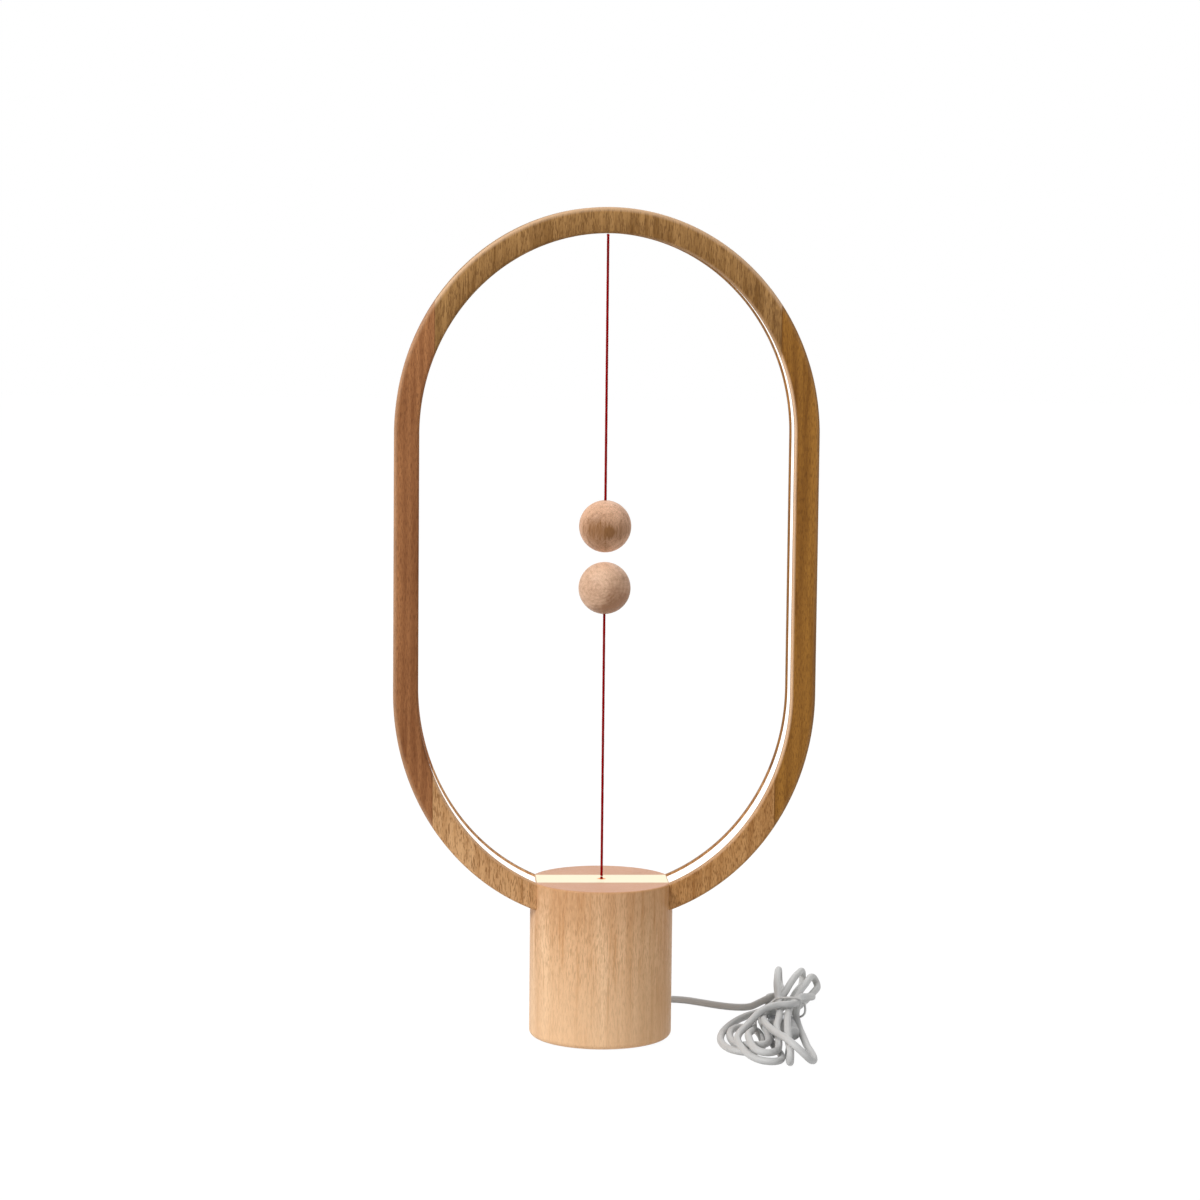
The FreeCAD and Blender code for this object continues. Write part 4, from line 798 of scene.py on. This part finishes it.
def oval_formula(tree, wires, place):
    """Where a point of the straight moulding goes.

    Its X says how far round the oval it lies, from 0 to 1, and its Z how deep in the wall. The turn
    runs through the upper half ellipse, down one side, through the lower half and up the other side.
    A half ellipse takes pi of it, and a side takes STRAIGHT.
    """
    along, across, inward = tree.parts(place)
    turn = along * (2 * pi + 2 * STRAIGHT)
    angle = (turn / pi).held() * pi + ((turn - pi - STRAIGHT) / pi).held() * pi
    down = ((turn - pi) / STRAIGHT).held()
    up = ((turn - 2 * pi - STRAIGHT) / STRAIGHT).held()
    centre = wires["Upper Centre"] + (wires["Lower Centre"] - wires["Upper Centre"]) * (down - up)
    low = (turn - pi) > STRAIGHT / 2
    outer_rise = wires["Outer Top"] + (wires["Outer Low"] - wires["Outer Top"]) * low
    inner_rise = wires["Inner Top"] + (wires["Inner Low"] - wires["Inner Top"]) * low
    rise = outer_rise + (inner_rise - outer_rise) * (inward / wires["Wall"])
    x = (wires["Half Width"] - inward) * angle.cosine()
    z = centre + rise * angle.sine()
    return tree.point(x, across, z)


def bent_moulding(tree, wires, wide, thick, edge, corners, start):
    """A bar of one unit, drawn, rounded and swept, that stands from start; then bent to the oval."""
    outline = tree.add("GeometryNodeCurvePrimitiveQuadrilateral", {"mode": "RECTANGLE"},
                       {"Width": wide, "Height": thick})
    outline = tree.add("GeometryNodeFilletCurve", {"mode": "POLY"},
                       {"Curve": outline, "Radius": edge, "Count": corners})
    line = tree.add("GeometryNodeCurvePrimitiveLine", {"mode": "POINTS"},
                    {"Start": (0.0, 0.0, 0.0), "End": (1.0, 0.0, 0.0)})
    path = tree.add("GeometryNodeResampleCurve", {"mode": "COUNT"},
                    {"Curve": line, "Count": RING_STEPS})
    bar = tree.add("GeometryNodeCurveToMesh", None, {"Curve": path, "Profile Curve": outline})
    along, across, inward = tree.parts(tree.add("GeometryNodeInputPosition"))
    stock = tree.point(along, across, inward + thick / 2 + start)
    bent = tree.add("GeometryNodeSetPosition", None,
                    {"Geometry": bar, "Position": oval_formula(tree, wires, stock)})
    return tree.add("GeometryNodeMergeByDistance", None, {"Geometry": bent, "Distance": 0.000001})


def ring_tree():
    sizes = {"Half Width": RING_HALF, "Wall": RING_WALL, "Depth": RING_DEEP, "Outer Top": OUTER_TOP,
             "Outer Low": OUTER_LOW, "Inner Top": INNER_TOP, "Inner Low": INNER_LOW,
             "Upper Centre": UPPER_CENTRE, "Lower Centre": LOWER_CENTRE, "Channel Width": CHANNEL_WIDE,
             "Channel Depth": CHANNEL_DEEP, "Edge": RING_EDGE}
    tree, wires = geometry_tree("channelled oval ring", sizes)
    body = bent_moulding(tree, wires, wires["Depth"], wires["Wall"], wires["Edge"], 6, 0.0)
    channel = bent_moulding(tree, wires, wires["Channel Width"], wires["Channel Depth"] * 2, 0.0002, 1,
                            wires["Wall"] - wires["Channel Depth"])
    cut = tree.add("GeometryNodeMeshBoolean", {"operation": "DIFFERENCE"},
                   {"Mesh 1": body, "Mesh 2": channel})
    end_tree(tree, cut, wires["Material"])
    return tree


print("ring tree: a channel", CHANNEL_WIDE, "m wide in a wall", RING_WALL, "m thick")

# %% Bend the ring
ring = run_tree("ring", ring_tree(), RING_TOP)
ring_size = Vector([max(v.co[a] for v in ring.data.vertices) - min(v.co[a] for v in ring.data.vertices)
                    for a in range(3)])
print("ring", [round(s / MM, 2) for s in ring_size], "mm,", len(ring.data.polygons), "faces")

# %% [markdown]
# ## Five boards
#
# The real ring isn't one piece of wood. Five boards are glued edge to edge and the oval is sawn out
# of them: one at the crown, one at each side and two at the foot. Each board has its own tree and so
# its own colour. The bent ring is therefore cut by planes at the glue lines, and each part closed
# with a flat face. The foot is open in the middle, where the base takes over.

# %% Cut the ring into boards
FOOT_GAP = 0.022
MIDDLE = 0.230633
FAR = 0.2


def cut_away(work, point, direction):
    """Removes what lies beyond a plane and closes the cut."""
    geometry = work.verts[:] + work.edges[:] + work.faces[:]
    found = bmesh.ops.bisect_plane(work, geom=geometry, plane_co=point, plane_no=direction,
                                   clear_outer=True, dist=1e-7)
    rim = [item for item in found["geom_cut"] if isinstance(item, bmesh.types.BMEdge)]
    if rim:
        bmesh.ops.edgenet_fill(work, edges=rim)


def board(name, node, material, slot, low_x, high_x, low_z, high_z):
    work = bmesh.new()
    work.from_mesh(ring.data)
    cut_away(work, (high_x, 0, 0), (1, 0, 0))
    cut_away(work, (low_x, 0, 0), (-1, 0, 0))
    cut_away(work, (0, 0, high_z), (0, 0, 1))
    cut_away(work, (0, 0, low_z), (0, 0, -1))
    mesh = bpy.data.meshes.new(name)
    work.to_mesh(mesh)
    work.free()
    piece = finished_mesh(name, mesh, material)
    declare(piece, "lamp", slot, node)
    return piece


BOARDS = [
    board("crown_board", "ring_top_board", RING_TOP, "ring_wood", -SEAM, SEAM, MIDDLE, 1),
    board("left_board", "ring_left_board", SIDE_LEFT, "side_wood", -FAR, -SEAM, 0, 1),
    board("right_board", "ring_right_board", SIDE_RIGHT, "side_wood", SEAM, FAR, 0, 1),
    board("foot_board_left", "ring_lower_left_board", FOOT_LEFT, "ring_wood",
          -SEAM, -FOOT_GAP, 0, MIDDLE),
    board("foot_board_right", "ring_lower_right_board", FOOT_RIGHT, "ring_wood",
          FOOT_GAP, SEAM, 0, MIDDLE),
]
bpy.data.objects.remove(ring)
for piece in BOARDS:
    edges = bmesh.new()
    edges.from_mesh(piece.data)
    open_edges = sum(not edge.is_manifold for edge in edges.edges)
    print(piece.name, len(edges.faces), "faces,", open_edges, "open edges")
    edges.free()

# %% [markdown]
# ## Milky strips and the light behind them
#
# A translucent strip hides the LEDs and spreads their light. Seen lit, it is an even white with a
# slightly duller line along each edge, where it sits in its channel. The shader shines by itself, and
# only its colour varies, because a strength that is the same everywhere is set on the shader. The
# strip in the base is the same plastic, but warmer and dimmer. Round the thread's hole it glows
# orange, where light leaks into the bore and is caught by the red thread.

# %% Lit plastic
STRIP_HALF, STRIP_EDGE = 0.0098, 0.0008
BASE_STRIP_HALF, THREAD_HOLE = 0.032, 0.0014
STRIP_END, HOLE_GLOW = srgb(196, 150, 118), srgb(255, 150, 70)


def lit_plastic(name, body, light, edge_light, strength, in_base=False):
    material, tree, shader, place = new_material(name)
    x, y, _ = tree.parts(place)
    edge = y.size().ramp(STRIP_HALF - STRIP_EDGE, STRIP_HALF)
    cloud = tree.noise(place, 0.02, detail=2).ramp(0.2, 0.8)
    shine = tree.mix(edge * 0.8 + cloud * 0.06, light, edge_light)
    if in_base:
        end = x.size().ramp(BASE_STRIP_HALF - 0.0005, BASE_STRIP_HALF - 0.0002)
        shine = tree.mix(end, shine, STRIP_END)
        reach = (x * x + y * y) ** 0.5
        shine = tree.mix(1 - reach.ramp(THREAD_HOLE * 0.9, THREAD_HOLE * 1.9), shine, HOLE_GLOW)
    fine = tree.noise(place, 0.0005, detail=2)
    finish_shader(tree, shader, base_color=body, roughness=0.42 + fine * 0.1, specular_ior_level=0.1,
                  emission_color=shine, emission_strength=strength, normal=tree.bump(fine, 0.00001))
    return material


RING_LIGHT = lit_plastic("milky_strip", srgb(170, 168, 164), srgb(255, 254, 252),
                         srgb(255, 244, 232), 0.95)
BASE_LIGHT = lit_plastic("cream_strip", srgb(96, 88, 62), srgb(252, 247, 219),
                         srgb(246, 232, 196), 0.82, in_base=True)
print("lit strips:", RING_LIGHT.name, BASE_LIGHT.name)

# %% [markdown]
# ## Twisted thread and its knots
#
# Each ball is tied to a thin red thread of three strands laid round each other. Geometry Nodes make it:
# one strand is a line bent into a helix and swept with a small circle, and copies turned by a third
# of a turn make three. At each pivot the thread is tied, and an overhand knot is the closed curve
# that mathematicians call a trefoil.

# %% Red thread


def thread_finish():
    """Dyed cotton: dull, with fibres that run along the strands and catch a little light."""
    material, tree, shader, place = new_material("dyed_cotton")
    fibre = tree.noise(place, 0.00018, detail=2, stretch=(1, 1, 0.35))
    cloud = tree.noise(place, 0.004, detail=2)
    colour = tree.mix(fibre.ramp(0.3, 0.75), srgb(118, 2, 4), srgb(176, 9, 9))
    colour = tree.mix(cloud.ramp(0.45, 0.8) * 0.3, colour, srgb(104, 0, 2))
    finish_shader(tree, shader, base_color=colour, roughness=0.95, specular_ior_level=0.03,
                  normal=tree.bump(fibre, 0.00006))
    return material


RED_THREAD = thread_finish()
THREAD_RADIUS = 0.00066
STRANDS, STRAND_SHARE = 3, 0.6
THREAD_TWIST, STEPS_A_TURN = 0.0034, 12
KNOT_REACH = 0.00036


def thread_tree():
    tree, wires = geometry_tree("laid thread", {"Low": 0.0, "High": 0.1, "Radius": THREAD_RADIUS,
                                                "Lay": THREAD_TWIST, "Steps": 500.0})
    line = tree.add("GeometryNodeCurvePrimitiveLine", {"mode": "POINTS"},
                    {"Start": tree.point(0.0, 0.0, wires["Low"]),
                     "End": tree.point(0.0, 0.0, wires["High"])})
    fine = tree.add("GeometryNodeResampleCurve", {"mode": "COUNT"},
                    {"Curve": line, "Count": wires["Steps"]})
    _, _, height = tree.parts(tree.add("GeometryNodeInputPosition"))
    angle = height * (tau / wires["Lay"])
    strand = wires["Radius"] * STRAND_SHARE
    reach = wires["Radius"] - strand
    spot = tree.point(reach * angle.cosine(), reach * angle.sine(), height)
    helix = tree.add("GeometryNodeSetPosition", None, {"Geometry": fine, "Position": spot})
    circle = tree.add("GeometryNodeCurvePrimitiveCircle", {"mode": "RADIUS"},
                      {"Resolution": 7, "Radius": strand})
    rope = tree.add("GeometryNodeCurveToMesh", None,
                    {"Curve": helix, "Profile Curve": circle, "Fill Caps": True})
    join = tree.tree.nodes.new("GeometryNodeJoinGeometry")
    for number in range(STRANDS):
        turned_strand = tree.add("GeometryNodeTransform", None,
                                 {"Geometry": rope, "Rotation": (0.0, 0.0, number * tau / STRANDS)})
        tree.plug(join.inputs[0], turned_strand)
    end_tree(tree, Wire(tree, join.outputs[0]), wires["Material"])
    return tree


THREAD_TREE = thread_tree()


def make_thread(name, node):
    """A thread from its ball to its knot, and a little way into the knot."""
    low, high = (corner.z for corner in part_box(node))
    low, high = (low, high + KNOT_REACH) if node == "upper_thread" else (low - KNOT_REACH, high)
    steps = round((high - low) / THREAD_TWIST * STEPS_A_TURN)
    piece = run_tree(name, THREAD_TREE, RED_THREAD, sharp=80, Low=low, High=high, Steps=float(steps))
    declare(piece, node, "red_thread", node)
    print(name, round((high - low) / MM, 1), "mm,", len(piece.data.polygons), "faces")


make_thread("hanging_thread", "upper_thread")
make_thread("standing_thread", "lower_thread")

# %% Knots
KNOT_THREAD = 0.3
KNOT_POINTS = 36
KNOT_REST, KNOT_DEPTH = 4.2, 3.2


def make_knot(name, node):
    """A trefoil pulled tight, sized to the frame's knot."""
    low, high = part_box(node)
    centre, half = (low + high) / 2, (high.z - low.z) / 2 - KNOT_THREAD * MM
    points = []
    for number in range(KNOT_POINTS):
        t = tau * number / KNOT_POINTS
        spot = Vector((sin(t) + 2 * sin(2 * t), cos(t) - 2 * cos(2 * t), -sin(3 * t) * KNOT_DEPTH))
        points.append((centre + spot * half / KNOT_REST) / MM)
    piece = as_mesh(spline_object(name, points, KNOT_THREAD, RED_THREAD, closed=True))
    declare(piece, node, "red_thread", node)
    print(name, len(piece.data.polygons), "faces")


make_knot("upper_thread_knot", "upper_knot")
make_knot("lower_thread_knot", "lower_knot")

# %% [markdown]
# ## Metals, boards and small parts
#
# Most of the inner pieces are seen only when the lamp is taken apart, but each has its real finish.
# Metal is a base colour at full metallic with brushing along one axis, or with the small crystals of
# a cast or plated surface. A circuit board is green lacquer over copper tracks, which show as
# slightly raised lines. An LED is white ceramic with a yellow window.

# %% Metal and electronics


def metal(name, colour, roughness=0.35, brush=(1, 1, 1), grain=0.0004, depth=0.00002):
    material, tree, shader, place = new_material(name)
    marks = tree.noise(place, grain, detail=3, stretch=brush)
    cloud = tree.noise(place, 0.01, detail=3)
    dark = [c * 0.78 for c in colour[:3]] + [1.0]
    colour = tree.mix(cloud.ramp(0.3, 0.7) * 0.6 + marks * 0.3, dark, colour)
    finish_shader(tree, shader, base_color=colour, metallic=1.0,
                  roughness=roughness + marks * 0.18, normal=tree.bump(marks, depth))
    return material


def circuit_lacquer():
    """Green lacquer; the tracks below it are lighter lines on a square grid."""
    material, tree, shader, place = new_material("circuit_lacquer")
    x, y, _ = tree.parts(place)
    bend = tree.noise(place, 0.012, detail=1) * 0.004
    down, along = [((wire / 0.0021).sine() * 0.5 + 0.5).ramp(0.72, 0.86)
                   for wire in (x + bend, y - bend)]
    track = (down * (tree.noise(place, 0.006) > 0.5) + along * 0.6).held()
    colour = tree.mix(track, srgb(24, 84, 52), srgb(52, 124, 78))
    finish_shader(tree, shader, base_color=colour, roughness=0.35 + track * 0.1,
                  normal=tree.bump(track, 0.00004), coat_weight=0.3)
    return material


def led_finish():
    material, tree, shader, place = new_material("led_phosphor")
    grain = tree.noise(place, 0.0004, detail=2)
    colour = tree.mix(grain.ramp(0.4, 0.6), srgb(246, 232, 160), srgb(252, 246, 214))
    finish_shader(tree, shader, base_color=colour, roughness=0.4 + grain * 0.1, emission_color=colour,
                  emission_strength=0.8, normal=tree.bump(grain, 0.00003))
    return material


FINISHES = {
    "ring_wood": RING_TOP,
    "side_wood": SIDE_LEFT,
    "base_wood": BASE_BEECH,
    "milky_plastic": RING_LIGHT,
    "cream_plastic": BASE_LIGHT,
    "strip_film": moulded("strip_backing", srgb(236, 232, 222), roughness=0.35, wander=0.05),
    "led": led_finish(),
    "circuit_green": circuit_lacquer(),
    "black_parts": moulded("black_housings", srgb(40, 40, 42), roughness=0.45, wander=0.1),
    "white_nylon": moulded("nylon", srgb(226, 224, 216), roughness=0.5, wander=0.03),
    "black_abs": moulded("black_moulding", srgb(34, 34, 36), roughness=0.5, wander=0.08, grain=0.00012),
    "grey_plate": moulded("plate_grey", srgb(96, 96, 98), roughness=0.55, grain=0.00015),
    "iron": metal("cast_iron", srgb(92, 90, 88), roughness=0.62, grain=0.0009, depth=0.0002),
    "steel": metal("bright_steel", srgb(186, 187, 190), roughness=0.26, brush=(1, 1, 0.2)),
    "brass": metal("turned_brass", srgb(206, 170, 96), roughness=0.24, brush=(1, 1, 0.15)),
    "magnet": metal("nickel_plate", srgb(196, 194, 188), roughness=0.18, grain=0.0007, depth=0.00001),
    "foot_rubber": moulded("soft_rubber", srgb(52, 51, 50), roughness=0.82, grain=0.0002,
                           grain_size=0.0009),
    "red_thread": RED_THREAD,
    "grey_cord": GREY_CORD,
    "tie_white": TIE_WHITE,
    "plug_grey": PLUG_GREY,
}
OWN_FINISH = {
    "upper_ball": UPPER_BEECH, "upper_ball_plug": UPPER_BEECH,
    "lower_ball": LOWER_BEECH, "lower_ball_plug": LOWER_BEECH,
}


def paint_frame():
    """Every piece of the frame gets its finish from the record's slot, or one of its own."""
    for entry in frame["record"]["subparts"]:
        name = entry["node"]
        node = NODES[name]
        finish = OWN_FINISH.get(name) or FINISHES[entry["material_slot"]]
        node.data.materials.clear()
        node.data.materials.append(finish)


paint_frame()

# %% [markdown]
# ## Floor, light and view
#
# The lamp stands on a pale table in a white studio. Three round area lamps give soft shading: the key
# high at the left, a weak fill at the right and one behind. A white world fills the rest. The world
# looks plain white to the camera, because its strength is 1 for camera rays. The table does too, but
# it keeps a tenth of its ordinary shading, so that only a trace of the lamp's shadow is left on it.
# Mirrors and clear things see the same white. The table lies a tenth of a millimetre low, so that its
# face and the foot pad's don't share one plane.

# %% Floor and world
WORLD_FILL = 0.385
FLOOR_HALF, FLOOR_DROP = 6.0, 0.0001
FLOOR_GREY = srgb(230, 230, 230)
FLOOR_WHITE = 0.9
FLOOR_LEVEL = 1.08


def seen_directly(tree):
    """1 for rays from the camera, from a mirror or through something clear."""
    path = tree.tree.nodes.new("ShaderNodeLightPath")
    rays = [Wire(tree, path.outputs[name]) for name in
            ("Is Camera Ray", "Is Glossy Ray", "Is Transmission Ray")]
    return (rays[0] + rays[1] + rays[2]).held()


def make_world():
    world = bpy.data.worlds.new("white_studio")
    tree = empty_tree(world)
    strength = seen_directly(tree) * (1 - WORLD_FILL) + WORLD_FILL
    background = tree.add("ShaderNodeBackground", None, {"Color": (1, 1, 1, 1), "Strength": strength})
    tree.close("ShaderNodeOutputWorld", background)
    bpy.context.scene.world = world


def make_floor():
    material = bpy.data.materials.new("pale_table")
    tree = empty_tree(material)
    matt = tree.add("ShaderNodeBsdfDiffuse", None, {"Color": FLOOR_GREY})
    white = tree.add("ShaderNodeEmission", None, {"Color": (1, 1, 1, 1), "Strength": FLOOR_LEVEL})
    both = tree.add("ShaderNodeMixShader", None,
                    {0: seen_directly(tree) * FLOOR_WHITE, 1: matt, 2: white})
    tree.close("ShaderNodeOutputMaterial", both)
    mesh = bpy.data.meshes.new("table")
    corners = [(x * FLOOR_HALF, y * FLOOR_HALF, -FLOOR_DROP)
               for x, y in ((-1, -1), (1, -1), (1, 1), (-1, 1))]
    mesh.from_pydata(corners, [], [(0, 1, 2, 3)])
    mesh.materials.append(material)
    floor = placed("table", mesh)


make_world()
make_floor()
print("white studio with a fill of", WORLD_FILL)

# %% Lamps
LAMPS = [
    ("key", (-1.55, -1.1, 1.65), (0, 0, 0.18), 0.8, 36.5),
    ("fill", (1.4, -1.6, 0.7), (0, 0, 0.2), 1.4, 3),
    ("back", (0.6, 1.6, 1.6), (0, 0, 0.2), 1.0, 8),
]


def area_lamp(name, place, aim, size, watts):
    data = bpy.data.lights.new(name, "AREA")
    data.shape = "DISK"
    data.size = size
    data.energy = watts
    lamp = placed(name, data)
    lamp.location = place
    lamp.rotation_euler = (Vector(aim) - Vector(place)).to_track_quat("-Z", "Y").to_euler()
    print(name, watts, "W")


for lamp in LAMPS:
    area_lamp(*lamp)

# %% View and closing
bpy.context.scene.view_settings.view_transform = "Standard"
